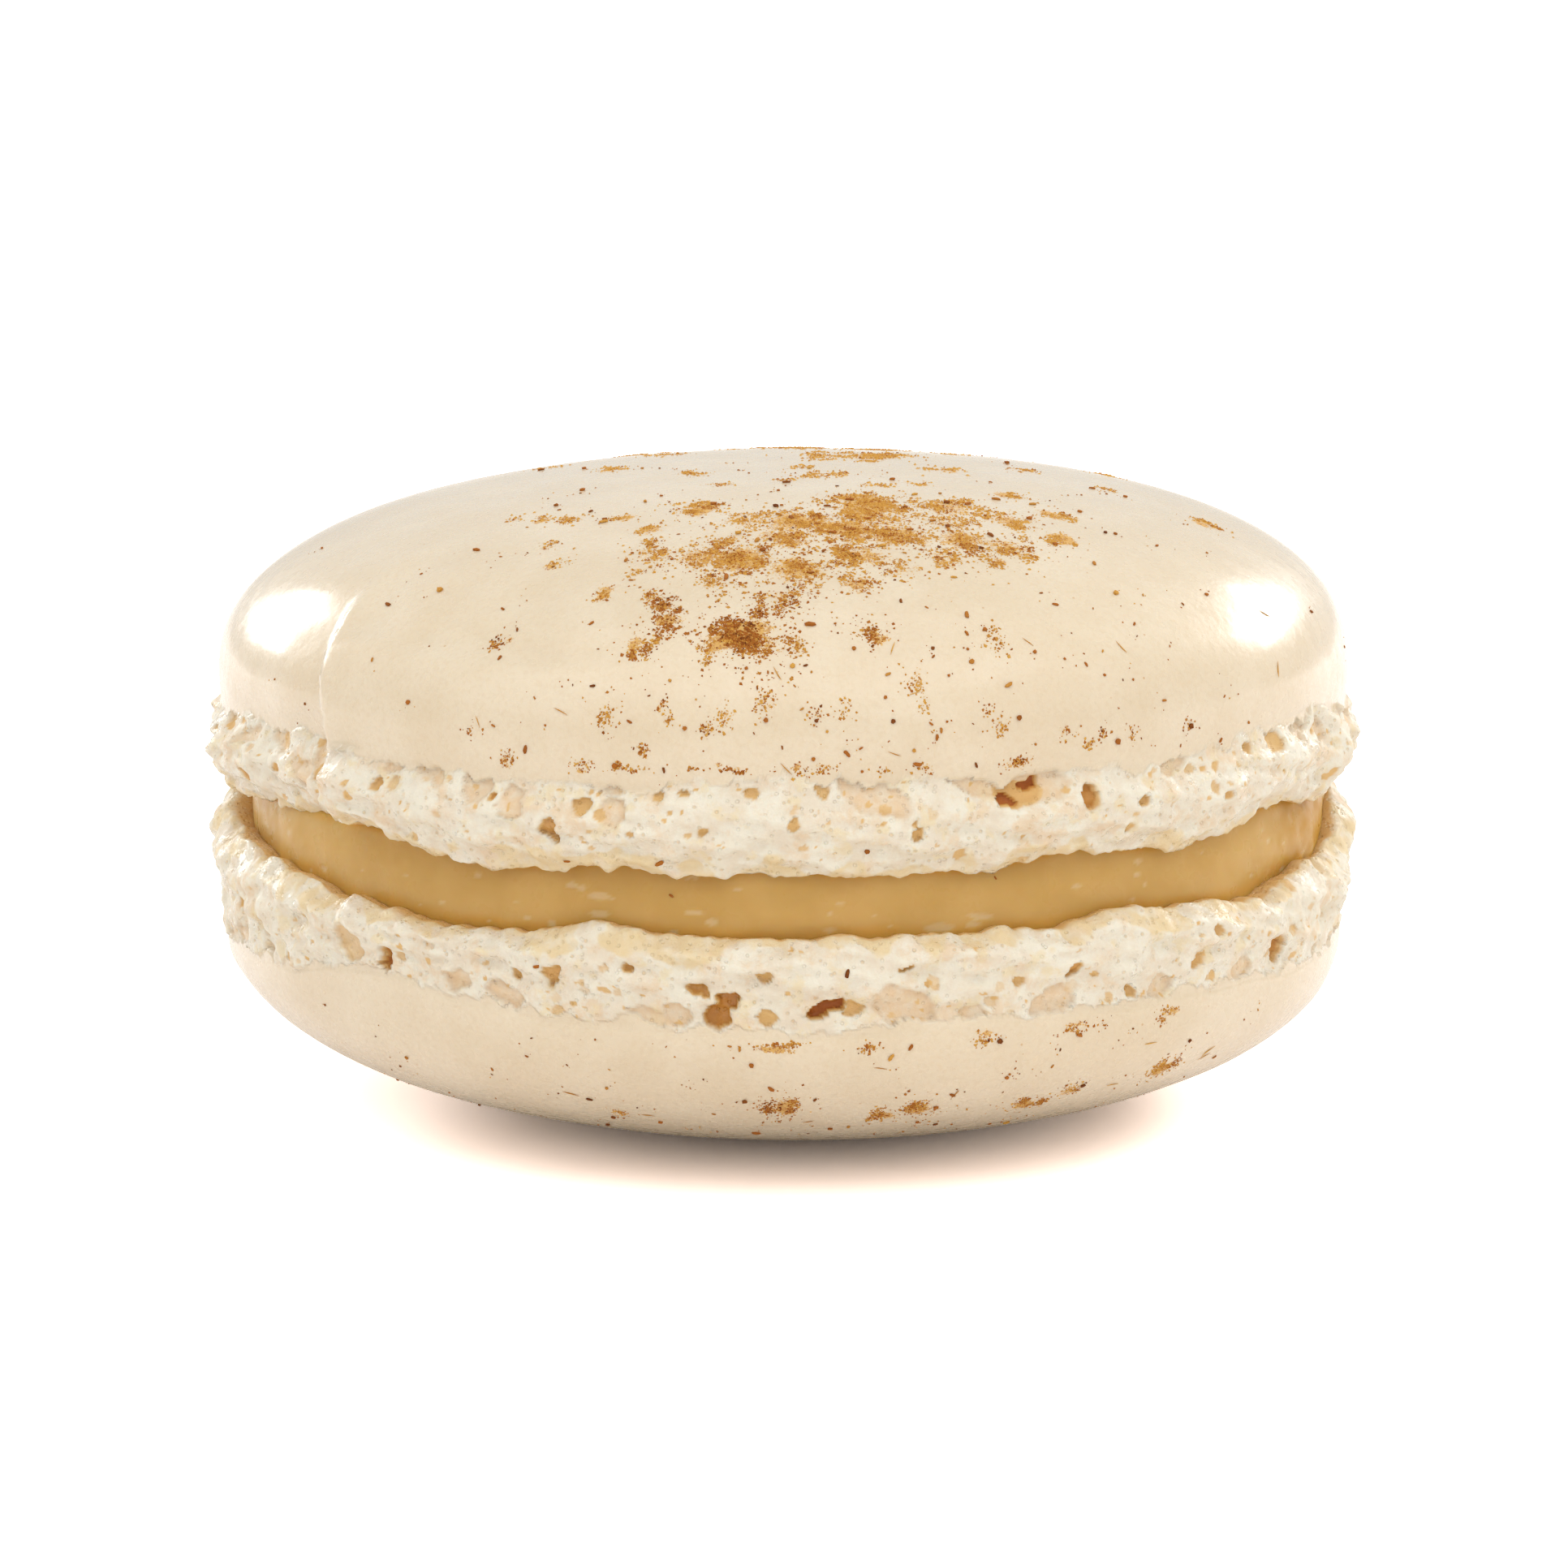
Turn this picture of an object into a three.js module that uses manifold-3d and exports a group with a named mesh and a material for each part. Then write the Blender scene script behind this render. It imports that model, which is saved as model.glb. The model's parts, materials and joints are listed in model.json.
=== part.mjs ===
import * as THREE from 'three';
import { mergeVertices } from 'three/addons/utils/BufferGeometryUtils.js';
import Module from 'manifold-3d';

// A french macaron: two baked meringue shells held together by a layer of caramel cream,
// with ground cinnamon sprinkled over the smooth skin of the upper one.
// Millimetres, +Z up. The origin is on the surface that it stands on, and the front is -Y.
// Angles run round the macaron from the front, positive towards +X.

// Driving dimensions
const LOWER_FACE = 10.25;
const UPPER_FACE = 13.55;
const CREAM_GAP = 0.3;
const CREAM_RADIUS = 21.0;
const SEGMENTS = 96;

// Each shell is described from its flat inner face outwards: height 0 is the inner face,
// the lip hangs past it, then come the foot, the groove, the edge of the skin and the dome.
const UPPER_SHELL = {
  face: UPPER_FACE,
  up: 1,
  lip: { inside: 21.5, radius: 22.0, height: -0.45 },
  foot: { radius: 23.0, share: 0.6 },
  groove: { radius: 21.95, height: 3.0 },
  skin: { radius: 22.15, height: 3.12 },
  dome: { radius: 22.35, base: 4.1, height: 8.0, roundness: 2.42, flatness: 2.34, top: 12.5, tilt: 0.36 },
  edgeRise: { size: 0.55, angle: 58, spread: 14 },
  lipGrowth: [[-0.35, -92, 17], [-0.35, 90, 17], [-0.45, -46, 11], [-0.5, 57, 11]],
  crease: { size: 1.2, onSkin: 0.6, angle: -50, lean: -0.8, fade: 4.6, step: 6, recovery: 34 },
  outline: [[-0.08, 1, 0.0], [0.12, 2, -1.57], [0.09, 3, 2.1], [0.06, 5, 4.0]],
  raggedLip: [[0.16, 9, 3.1], [0.12, 14, 0.4], [0.08, 23, 2.2]],
  waveOfEdge: [[0.12, 6, 1.0], [0.08, 11, 2.0], [0.05, 29, 0.0]],
  lumps: [[0.17, 17, 1.9, 0.4], [0.13, 31, -2.6, 1.7], [0.09, 43, 4.1, 3.0]],
};
const LOWER_SHELL = {
  face: LOWER_FACE,
  up: -1,
  lip: { inside: 21.5, radius: 22.1, height: -0.5 },
  foot: { radius: 22.8, share: 0.25 },
  groove: { radius: 21.95, height: 2.75 },
  skin: { radius: 22.3, height: 2.88 },
  dome: { radius: 22.5, base: 3.1, height: 7.3, roundness: 2.2, flatness: 2.02, top: LOWER_FACE, tilt: 0.5 },
  edgeRise: { size: -0.8, angle: -45, spread: 14 },
  lipGrowth: [[1.8, -98, 20], [0.7, -66, 12], [1.75, 95, 15]],
  crease: { size: 0, onSkin: 0, angle: -50, lean: 0, fade: 1, step: 6, recovery: 34 },
  outline: [[0.16, 1, 0.1], [0.08, 3, 0.3], [0.05, 7, 1.0]],
  raggedLip: [[0.12, 8, 0.2], [0.12, 13, 2.6], [0.09, 27, 1.1]],
  waveOfEdge: [[0.14, 5, 2.0], [0.09, 12, 0.7], [0.05, 31, 1.5]],
  lumps: [[0.16, 15, -1.7, 2.0], [0.12, 27, 2.9, 0.2], [0.09, 41, -3.7, 1.1]],
};

// How many rings each stretch of a shell's profile has
const DOME_ROWS = 9;
const SKIN_ROWS = 2;
const FOOT_ROWS = 6;

// The holes in the two feet that show most: angle, height from the shell's inner face, and
// then the hole's own width, height and depth
const UPPER_HOLES = [
  [21.6, 2.3, 1.5, 1.05, 1.0],
  [29.6, 2.0, 0.8, 0.9, 0.9],
  [55.1, 3.0, 1.2, 1.0, 0.5],
  [-16.4, 1.9, 1.1, 1.1, 0.5],
  [-22.5, 1.2, 0.8, 0.9, 0.8],
  [-29.0, 2.4, 1.5, 1.3, 0.5],
  [9.0, 2.5, 1.9, 0.8, 0.4],
  [-54.6, 1.5, 0.8, 0.7, 0.6],
];
const LOWER_HOLES = [
  [-6.3, 2.0, 1.1, 1.5, 1.0],
  [3.3, 2.0, 1.5, 0.7, 1.1],
  [-41.0, 1.4, 0.6, 1.1, 1.0],
  [-46.9, 0.7, 1.3, 1.2, 0.7],
  [-22.8, 1.0, 0.8, 0.9, 0.8],
  [11.5, 2.0, 2.1, 1.2, 0.4],
  [25.6, 2.1, 1.8, 1.0, 0.4],
  [57.2, 1.9, 0.9, 0.9, 0.9],
];
const SPREAD_HOLES = { count: 18, width: [0.6, 1.3], squash: 0.75, depth: 0.55, clearance: 1.7 };

// The heaps of cinnamon that show most on the upper skin: x, y and width
const UPPER_HEAPS = [
  [-1.7, -20.6, 2.5],
  [-4.2, -19.4, 1.3],
  [3.1, -9.2, 3.2],
  [2.9, -12.8, 3.4],
  [-3.8, -9.8, 2.0],
  [-0.2, -15.9, 3.6],
  [-3.4, -15.3, 2.0],
  [6.1, -13.2, 1.7],
];
const LOWER_HEAPS = [
  [8.5, -17.4, 1.9],
  [4.7, -19.4, 1.6],
  [-0.2, -20.2, 1.4],
];
const SPREAD_HEAPS = { count: 22, middle: [1.0, -5.0], reach: 12.5, width: [0.9, 2.0] };
const HEAP_THICKNESS = 0.22;

const SKIN_COLOUR = new THREE.Color('rgb(232, 215, 186)');
const CREAM_COLOUR = new THREE.Color('rgb(198, 157, 92)');

// Steps of the two even-spread rules: pairs that never line up, and turns of a sunflower head
const PAIR_STEP = [0.7548776662, 0.5698402910];
const SUNFLOWER_TURN = Math.PI * (3 - Math.sqrt(5));

const wasm = await Module();
wasm.setup();

const radians = THREE.MathUtils.degToRad;
const mix = THREE.MathUtils.lerp;
const smooth = (value) => THREE.MathUtils.smoothstep(value, 0, 1);
const fraction = (value) => value - Math.floor(value);

// A repeatable stream of numbers between 0 and 1
function drawer(seed) {
  let state = seed;
  return () => {
    state = (state * 16807) % 2147483647;
    return state / 2147483647;
  };
}

// A sum of waves round the macaron, each with its size, its count and its phase
function waves(list, angle) {
  return list.reduce((sum, [size, count, phase]) => sum + size * Math.sin(count * angle + phase), 0);
}

// The lumps of a foot: waves that lean as they climb, so that they break up into knobs
function lump(list, angle, height) {
  return list.reduce(
    (sum, [size, count, climb, phase]) =>
      sum + size * Math.sin(count * angle + climb * height + phase) * Math.cos(climb * 1.3 * height + phase),
    0,
  );
}

// The degrees from one angle to another, between -180 and 180
function degreesApart(angle, other) {
  return THREE.MathUtils.euclideanModulo(THREE.MathUtils.radToDeg(angle) - other + 180, 360) - 180;
}

// How far the skin's edge stands off its usual height at an angle
function riseOfEdge(shell, angle) {
  const { size, angle: middle, spread } = shell.edgeRise;
  const off = degreesApart(angle, middle) / spread;
  return size * Math.exp(-off * off) + waves(shell.waveOfEdge, angle);
}

// How far the lip reaches towards the other shell: ragged all round, and grown where the two
// feet baked high enough to hide the cream
function reachOfLip(shell, angle) {
  return shell.lipGrowth.reduce((sum, [size, middle, spread]) => {
    const off = degreesApart(angle, middle) / spread;
    return sum - size * Math.exp(-(off ** 4));
  }, waves(shell.raggedLip, angle));
}

// The crease: behind a short step the shell falls back, and comes out again further round
function creaseDepth(shell, angle, height) {
  const { size, onSkin, angle: front, lean, fade, step, recovery } = shell.crease;
  const climb = Math.max(0, height - shell.skin.height);
  const behind = front + lean * climb - degreesApart(angle, 0);
  const along = smooth(behind / step) * (1 - smooth((behind - step) / recovery));
  const share = mix(1, onSkin, smooth(climb / 1.5)) * (1 - smooth((climb - fade) / fade));
  return size * along * share;
}

// A ring of the profile on the foot: 0 at the lip, 1 at the groove
function footRing(shell, share) {
  const { foot, lip, groove } = shell;
  const height = mix(lip.height, groove.height, share);
  if (share < foot.share) {
    const outwards = Math.sin((Math.PI / 2) * (share / foot.share));
    return { kind: 'foot', share, radius: mix(lip.radius, foot.radius, outwards), height };
  }
  const inwards = (share - foot.share) / (1 - foot.share);
  return { kind: 'foot', share, radius: mix(foot.radius, groove.radius, inwards ** 2), height };
}

// A ring of the profile on the dome, which is a superellipse
function domeRing(shell, turn) {
  const { radius, base, height, roundness, flatness } = shell.dome;
  return {
    kind: 'dome',
    radius: radius * Math.sin(turn) ** (2 / roundness),
    height: base + height * Math.cos(turn) ** (2 / flatness),
  };
}

// The whole profile of a shell, from the middle of its inner face to the middle of its dome
function shellRings(shell) {
  const { lip, skin, dome } = shell;
  const rings = [
    { kind: 'face', radius: 0, height: 0 },
    { kind: 'face', radius: lip.inside - 0.3, height: 0 },
    { kind: 'lip', radius: lip.inside, height: lip.height * 0.7 },
  ];
  for (let row = 0; row <= FOOT_ROWS; row += 1) {
    rings.push(footRing(shell, row / FOOT_ROWS));
  }
  for (let row = 0; row < SKIN_ROWS; row += 1) {
    const share = row / SKIN_ROWS;
    const outwards = Math.sin((Math.PI / 2) * share);
    rings.push({
      kind: 'skin',
      radius: mix(skin.radius, dome.radius, outwards),
      height: mix(skin.height, dome.base, share),
    });
  }
  for (let row = 0; row <= DOME_ROWS; row += 1) {
    rings.push(domeRing(shell, (Math.PI / 2) * (1 - row / DOME_ROWS)));
  }
  return rings;
}

// Where a ring really passes at an angle, once the baked shell's unevenness is added
function uneven(shell, ring, angle) {
  const { groove, skin, dome } = shell;
  let { radius, height } = ring;
  if (ring.kind === 'face') {
    return [radius, height];
  }
  if (ring.kind === 'lip') {
    return [radius, height + 0.6 * reachOfLip(shell, angle)];
  }
  if (ring.kind === 'foot') {
    height += (1 - ring.share) ** 2 * reachOfLip(shell, angle);
    height += ring.share * riseOfEdge(shell, angle);
    const middle = Math.sin(Math.PI * mix(0.25, 1, ring.share));
    radius += middle * lump(shell.lumps, angle, ring.height);
  } else {
    const above = smooth((ring.height - skin.height) / (dome.base + 2 - skin.height));
    height += (1 - above) * riseOfEdge(shell, angle);
    height += above * Math.tan(radians(dome.tilt)) * radius * Math.sin(angle);
    height = Math.min(height, dome.top);
  }
  radius += (ring.radius / groove.radius) * waves(shell.outline, angle);
  radius -= creaseDepth(shell, angle, ring.height);
  return [Math.max(radius, 0), height];
}

// The solid of a geometry whose shared corners are merged
function solidOf(geometry) {
  geometry.deleteAttribute('normal');
  geometry.deleteAttribute('uv');
  const merged = mergeVertices(geometry);
  const vertProperties = new Float32Array(merged.attributes.position.array);
  const triVerts = new Uint32Array(merged.index.array);
  return new wasm.Manifold(new wasm.Mesh({ numProp: 3, vertProperties, triVerts }));
}

function geometryOf(solid) {
  const { numProp, vertProperties, triVerts } = solid.getMesh();
  const corners = [];
  for (let start = 0; start < vertProperties.length; start += numProp) {
    corners.push(...vertProperties.slice(start, start + 3));
  }
  const geometry = new THREE.BufferGeometry();
  geometry.setAttribute('position', new THREE.Float32BufferAttribute(corners, 3));
  geometry.setIndex([...triVerts]);
  geometry.computeVertexNormals();
  return geometry;
}

// A lathe turned from rings, each of which moves to its own uneven place at every angle.
// The rings run upwards, so the faces point out.
function turned(rings, placeAt) {
  const points = rings.map((ring) => new THREE.Vector2(ring.radius, ring.height));
  const geometry = new THREE.LatheGeometry(points, SEGMENTS);
  const position = geometry.attributes.position;
  for (let column = 0; column <= SEGMENTS; column += 1) {
    const angle = (2 * Math.PI * (column % SEGMENTS)) / SEGMENTS;
    rings.forEach((ring, row) => {
      const [radius, level] = placeAt(ring, angle);
      position.setXYZ(column * rings.length + row, radius * Math.sin(angle), level, radius * Math.cos(angle));
    });
  }
  return geometry.rotateX(Math.PI / 2);
}

function shellBody(shell) {
  const rings = shellRings(shell);
  if (shell.up < 0) {
    rings.reverse();
  }
  return turned(rings, (ring, angle) => {
    const [radius, height] = uneven(shell, ring, angle);
    return [radius, shell.face + shell.up * height];
  });
}

// A rough lump of radius 1: an icosahedron with its corners drawn in or out
function roughLump(detail, roughness, draw) {
  const geometry = new THREE.IcosahedronGeometry(1, detail);
  geometry.deleteAttribute('normal');
  geometry.deleteAttribute('uv');
  const lumpy = mergeVertices(geometry);
  const position = lumpy.attributes.position;
  for (let corner = 0; corner < position.count; corner += 1) {
    const size = 1 + roughness * (draw() - 0.5);
    position.setXYZ(
      corner,
      position.getX(corner) * size,
      position.getY(corner) * size,
      position.getZ(corner) * size,
    );
  }
  return lumpy;
}

// What is cut away for one hole in a foot
function hole(shell, [degrees, up, width, height, depth], draw) {
  const angle = radians(degrees);
  const { lip, groove } = shell;
  const share = (up - lip.height) / (groove.height - lip.height);
  const [radius] = uneven(shell, footRing(shell, THREE.MathUtils.clamp(share, 0, 1)), angle);
  const cutter = roughLump(width > 1 ? 1 : 0, 0.35, draw);
  cutter.scale(width / 2, depth, height / 2);
  cutter.translate(0, -radius, shell.face + shell.up * up);
  cutter.rotateZ(angle);
  return cutter;
}

// The smaller holes, spread evenly over a foot and kept clear of the named ones
function spreadHoles(shell, named, draw) {
  const { count, width, squash, depth, clearance } = SPREAD_HOLES;
  const { lip, groove } = shell;
  const holes = [];
  for (let number = 1; holes.length < count; number += 1) {
    const degrees = 360 * fraction(number * PAIR_STEP[0]) - 180;
    const up = mix(lip.height, groove.height, mix(0.25, 0.85, fraction(number * PAIR_STEP[1])));
    const across = mix(width[0], width[1], draw() ** 2);
    const taken = named.some(([other, height]) => {
      const apart = radians(degreesApart(radians(degrees), other)) * groove.radius;
      return Math.hypot(apart, up - height) < clearance;
    });
    if (!taken) {
      holes.push([degrees, up, across, across * squash, depth * across]);
    }
  }
  return holes;
}

// One heap of cinnamon, lying on the skin at x, y
function heap(shell, [x, y, width], draw) {
  const { radius, base, height, roundness, flatness } = shell.dome;
  const angle = Math.atan2(x, -y);
  const out = Math.hypot(x, y);
  const turn = Math.asin(Math.min(1, (out / radius) ** (roundness / 2)));
  const [ringRadius, ringHeight] = uneven(shell, domeRing(shell, turn), angle);
  const steepness = (roundness / radius) * (out / radius) ** (roundness - 1);
  const climb = (flatness / height) * ((ringHeight - base) / height) ** (flatness - 1);
  const outwards = new THREE.Vector3(
    steepness * Math.sin(angle),
    -steepness * Math.cos(angle),
    shell.up * climb,
  ).normalize();
  const flake = roughLump(0, 0.5, draw);
  flake.rotateZ(2 * Math.PI * draw());
  flake.scale(width / 2, width * mix(0.3, 0.5, draw()), HEAP_THICKNESS);
  flake.applyQuaternion(new THREE.Quaternion().setFromUnitVectors(new THREE.Vector3(0, 0, 1), outwards));
  flake.translate(
    ringRadius * Math.sin(angle),
    -ringRadius * Math.cos(angle),
    shell.face + shell.up * ringHeight,
  );
  return flake;
}

// The smaller heaps, spread like the seeds of a sunflower about the middle of the sprinkling
function spreadHeaps(draw) {
  const { count, middle, reach, width } = SPREAD_HEAPS;
  const heaps = [];
  for (let number = 0; number < count; number += 1) {
    const turn = number * SUNFLOWER_TURN;
    const out = reach * Math.sqrt((number + 0.5) / count);
    const x = middle[0] + out * Math.sin(turn);
    const y = middle[1] - out * Math.cos(turn);
    heaps.push([x, y, mix(width[1], width[0], number / count) * mix(0.8, 1.1, draw())]);
  }
  return heaps;
}

function shellSolid(shell, named, heaps, draw) {
  let solid = solidOf(shellBody(shell));
  for (const place of [...named, ...spreadHoles(shell, named, draw)]) {
    solid = solid.subtract(solidOf(hole(shell, place, draw)));
  }
  for (const place of heaps) {
    solid = solid.add(solidOf(heap(shell, place, draw)));
  }
  return geometryOf(solid);
}

// The cream: a disc with a softly bulging side, drawn in a little from the lips of the shells
function creamGeometry() {
  const bottom = LOWER_FACE + CREAM_GAP;
  const top = UPPER_FACE - CREAM_GAP;
  const bulge = 0.22;
  const rings = [
    { radius: 0, height: bottom, side: 0 },
    { radius: CREAM_RADIUS - 0.15, height: bottom, side: 1 },
    { radius: CREAM_RADIUS + bulge * 0.7, height: mix(bottom, top, 0.2), side: 1 },
    { radius: CREAM_RADIUS + bulge, height: mix(bottom, top, 0.5), side: 1 },
    { radius: CREAM_RADIUS + bulge * 0.6, height: mix(bottom, top, 0.82), side: 1 },
    { radius: CREAM_RADIUS - 0.15, height: top, side: 1 },
    { radius: 0, height: top, side: 0 },
  ];
  const outline = [[0.12, 2, 1.57], [0.06, 7, 1.9], [0.03, 16, 0.2]];
  const geometry = turned(rings, (ring, angle) => [
    ring.radius + ring.side * waves(outline, angle),
    ring.height,
  ]);
  return geometryOf(solidOf(geometry));
}

function namedMesh(name, geometry, color, roughness) {
  const material = new THREE.MeshStandardMaterial({ color, roughness, metalness: 0 });
  const mesh = new THREE.Mesh(geometry, material);
  mesh.name = name;
  return mesh;
}

const draw = drawer(20261);
const macaron = new THREE.Group();
macaron.add(
  namedMesh('shell_top', shellSolid(UPPER_SHELL, UPPER_HOLES, [...UPPER_HEAPS, ...spreadHeaps(draw)], draw),
    SKIN_COLOUR, 0.55),
  namedMesh('filling', creamGeometry(), CREAM_COLOUR, 0.3),
  namedMesh('shell_bottom', shellSolid(LOWER_SHELL, LOWER_HOLES, LOWER_HEAPS, draw), SKIN_COLOUR, 0.55),
);

// The outline is uneven, so the whole is moved until the origin is under the middle of its box
const box = new THREE.Box3().setFromObject(macaron);
const middle = box.getCenter(new THREE.Vector3());
for (const mesh of macaron.children) {
  mesh.geometry.translate(-middle.x, -middle.y, -box.min.z);
}

export default macaron;
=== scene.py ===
import math

import bpy
import numpy as np
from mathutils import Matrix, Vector
from mathutils.bvhtree import BVHTree
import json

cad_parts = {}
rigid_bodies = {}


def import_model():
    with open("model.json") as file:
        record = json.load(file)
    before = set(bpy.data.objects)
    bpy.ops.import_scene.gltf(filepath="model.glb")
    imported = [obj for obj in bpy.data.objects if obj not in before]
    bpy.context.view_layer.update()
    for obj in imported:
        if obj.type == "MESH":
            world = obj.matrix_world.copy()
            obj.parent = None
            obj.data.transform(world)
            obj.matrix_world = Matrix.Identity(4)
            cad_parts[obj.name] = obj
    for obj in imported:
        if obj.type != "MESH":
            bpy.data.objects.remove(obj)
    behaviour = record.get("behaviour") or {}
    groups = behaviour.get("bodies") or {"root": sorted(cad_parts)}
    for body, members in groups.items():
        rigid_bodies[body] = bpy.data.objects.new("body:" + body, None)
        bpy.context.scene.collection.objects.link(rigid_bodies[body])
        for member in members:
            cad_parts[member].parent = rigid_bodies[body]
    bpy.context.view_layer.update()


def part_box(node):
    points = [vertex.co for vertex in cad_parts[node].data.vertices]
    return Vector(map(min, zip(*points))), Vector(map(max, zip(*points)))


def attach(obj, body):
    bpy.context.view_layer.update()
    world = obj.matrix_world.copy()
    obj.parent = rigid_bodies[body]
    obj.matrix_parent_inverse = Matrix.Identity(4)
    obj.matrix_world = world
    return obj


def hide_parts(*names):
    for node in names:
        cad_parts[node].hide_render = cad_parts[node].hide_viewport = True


# A french macaron: two baked meringue shells, a layer of caramel cream and ground cinnamon.
# Lengths are in millimetres here and become metres when they reach Blender. Angles run round
# the macaron from its front, which is -Y, and are positive towards +X.
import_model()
MM = 0.001

# Angles in degrees become lengths along the rim at this radius; 57.3 degrees are a radian
RIM = 22.0
RADIAN = 57.3

# Driving dimensions. They are those of the solids, but for what was fitted closer to the photo
# later: the radii of the skin and of the upper dome, the first wave of each outline, one growth
# of the upper lip, and the crease with its fold.
LOWER_FACE = 10.25
UPPER_FACE = 13.55
CREAM_RADIUS = 21.0
CREAM_BULGE = 0.22
CREAM_OUTLINE = [(0.12, 2, 1.57), (0.06, 7, 1.9), (0.03, 16, 0.2)]

# Each shell is described from its flat inner face outwards: height 0 is the inner face, the
# lip hangs past it, then come the foot, the groove, the edge of the skin and the dome.
UPPER = {
    "face": UPPER_FACE,
    "up": 1,
    "lip_inside": 21.5,
    "lip_radius": 22.0,
    "lip_height": -0.45,
    "foot_radius": 23.0,
    "foot_share": 0.6,
    "groove_radius": 21.95,
    "groove_height": 3.0,
    "skin_radius": 22.48,
    "skin_height": 3.12,
    "dome_radius": 22.55,
    "dome_base": 4.1,
    "dome_height": 8.0,
    "roundness": 2.42,
    "flatness": 2.34,
    "top": 12.5,
    "tilt": 0.36,
    "edge_rise": (0.55, 58, 14),
    "fold": (0.45, 6.9, -57, -34),
    "lip_growth": [
        (-0.35, -92, 17), (-0.35, 90, 17), (-0.45, -46, 11), (-0.45, -64, 9), (-0.5, 57, 11),
    ],
    "crease": {"size": 1.2, "on_skin": 0.6, "angle": -50, "lean": -0.8, "fade": 3.3, "step": 2.2,
               "recovery": 36, "lobe": 0.32},
    "outline": [(-0.18, 1, 0.0), (0.12, 2, -1.57), (0.09, 3, 2.1), (0.06, 5, 4.0)],
    "ragged_lip": [(0.16, 9, 3.1), (0.12, 14, 0.4), (0.08, 23, 2.2)],
    "wave_of_edge": [(0.12, 6, 1.0), (0.08, 11, 2.0), (0.05, 29, 0.0)],
    "lumps": [(0.17, 17, 1.9, 0.4), (0.13, 31, -2.6, 1.7), (0.09, 43, 4.1, 3.0)],
}
LOWER = {
    "face": LOWER_FACE,
    "up": -1,
    "lip_inside": 21.5,
    "lip_radius": 22.1,
    "lip_height": -0.5,
    "foot_radius": 22.8,
    "foot_share": 0.25,
    "groove_radius": 21.95,
    "groove_height": 2.75,
    "skin_radius": 22.46,
    "skin_height": 2.88,
    "dome_radius": 22.5,
    "dome_base": 3.1,
    "dome_height": 7.3,
    "roundness": 2.2,
    "flatness": 2.02,
    "top": LOWER_FACE,
    "tilt": 0.5,
    "edge_rise": (-0.8, -45, 14),
    "fold": (0.0, 7.0, -57, -36),
    "lip_growth": [(1.8, -98, 20), (0.7, -66, 12), (1.75, 95, 15)],
    "crease": {"size": 0, "on_skin": 0, "angle": -50, "lean": 0, "fade": 1, "step": 6,
               "recovery": 34, "lobe": 0.0},
    "outline": [(-0.25, 1, 0.0), (0.16, 1, 0.1), (0.08, 3, 0.3), (0.05, 7, 1.0)],
    "ragged_lip": [(0.12, 8, 0.2), (0.12, 13, 2.6), (0.09, 27, 1.1)],
    "wave_of_edge": [(0.14, 5, 2.0), (0.09, 12, 0.7), (0.05, 31, 1.5)],
    "lumps": [(0.16, 15, -1.7, 2.0), (0.12, 27, 2.9, 0.2), (0.09, 41, -3.7, 1.1)],
}

# The holes in the feet that the photo shows: angle, height from the inner face, width, height, depth,
# and how strong the painted shade inside is, from pale (0) through tan (0.5) to orange brown (1)
UPPER_HOLES = [
    (21.0, 2.15, 0.75, 0.55, 1.1, 1.0), (23.4, 2.65, 0.9, 0.42, 1.1, 1.0),
    (22.2, 2.4, 1.9, 1.0, 0.6, 0.62), (29.6, 2.0, 0.67, 0.85, 1.0, 0.85),
    (33.9, 3.0, 0.55, 0.36, 0.4, 0.6), (50.8, 2.9, 0.6, 0.42, 0.4, 0.6),
    (55.1, 2.95, 1.1, 0.95, 0.5, 0.45), (-19.3, 2.1, 0.67, 0.61, 0.5, 0.55),
    (-12.0, 2.5, 0.42, 0.36, 0.4, 0.55), (-9.8, 2.6, 0.48, 0.3, 0.4, 0.6),
    (-3.4, 2.7, 0.55, 0.55, 0.4, 0.55), (-14.5, 1.2, 0.27, 0.24, 0.3, 0.5),
    (-7.9, 1.25, 0.42, 0.27, 0.3, 0.5), (0.5, 1.6, 0.4, 0.55, 0.4, 0.55),
    (3.2, 2.8, 0.5, 0.7, 0.4, 0.5), (12.0, 1.1, 0.58, 0.42, 0.5, 0.6),
    (11.6, 1.5, 0.22, 0.2, 0.3, 0.55), (-22.5, 1.2, 0.73, 0.88, 0.8, 0.7),
    (-28.6, 2.2, 0.35, 0.27, 0.5, 0.75), (-22.9, 3.0, 0.5, 0.22, 0.4, 0.75),
    (-42.5, 2.1, 0.48, 0.48, 0.5, 0.6), (-54.6, 1.9, 0.67, 0.61, 0.5, 0.55),
    (35.7, 1.65, 0.5, 0.45, 0.5, 0.6), (46.1, 1.35, 0.42, 0.3, 0.4, 0.6),
    (34.2, 0.7, 0.36, 0.36, 0.3, 0.5),
]
# Wide shallow hollows: angle, height from the inner face, width, height and depth; painted rose shade
# darkens the foam in them
UPPER_HOLLOWS = [
    (23.5, 2.6, 3.2, 1.2, 0.3), (8.0, 2.6, 2.9, 1.3, 0.28), (17.6, 2.85, 2.0, 0.8, 0.25),
    (-16.4, 1.9, 1.0, 1.1, 0.3), (-17.0, 2.9, 1.5, 0.7, 0.25), (-30.4, 2.55, 1.1, 1.1, 0.3),
    (-26.5, 2.0, 1.0, 1.1, 0.25), (-35.7, 2.9, 1.4, 0.7, 0.3), (-40.5, 2.9, 1.1, 0.6, 0.25),
    (40.0, 2.9, 1.5, 0.7, 0.25), (61.0, 3.2, 1.6, 1.0, 0.3), (-54.6, 2.5, 1.4, 1.4, 0.3),
    (-57.5, 1.7, 1.2, 1.0, 0.25),
]
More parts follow.
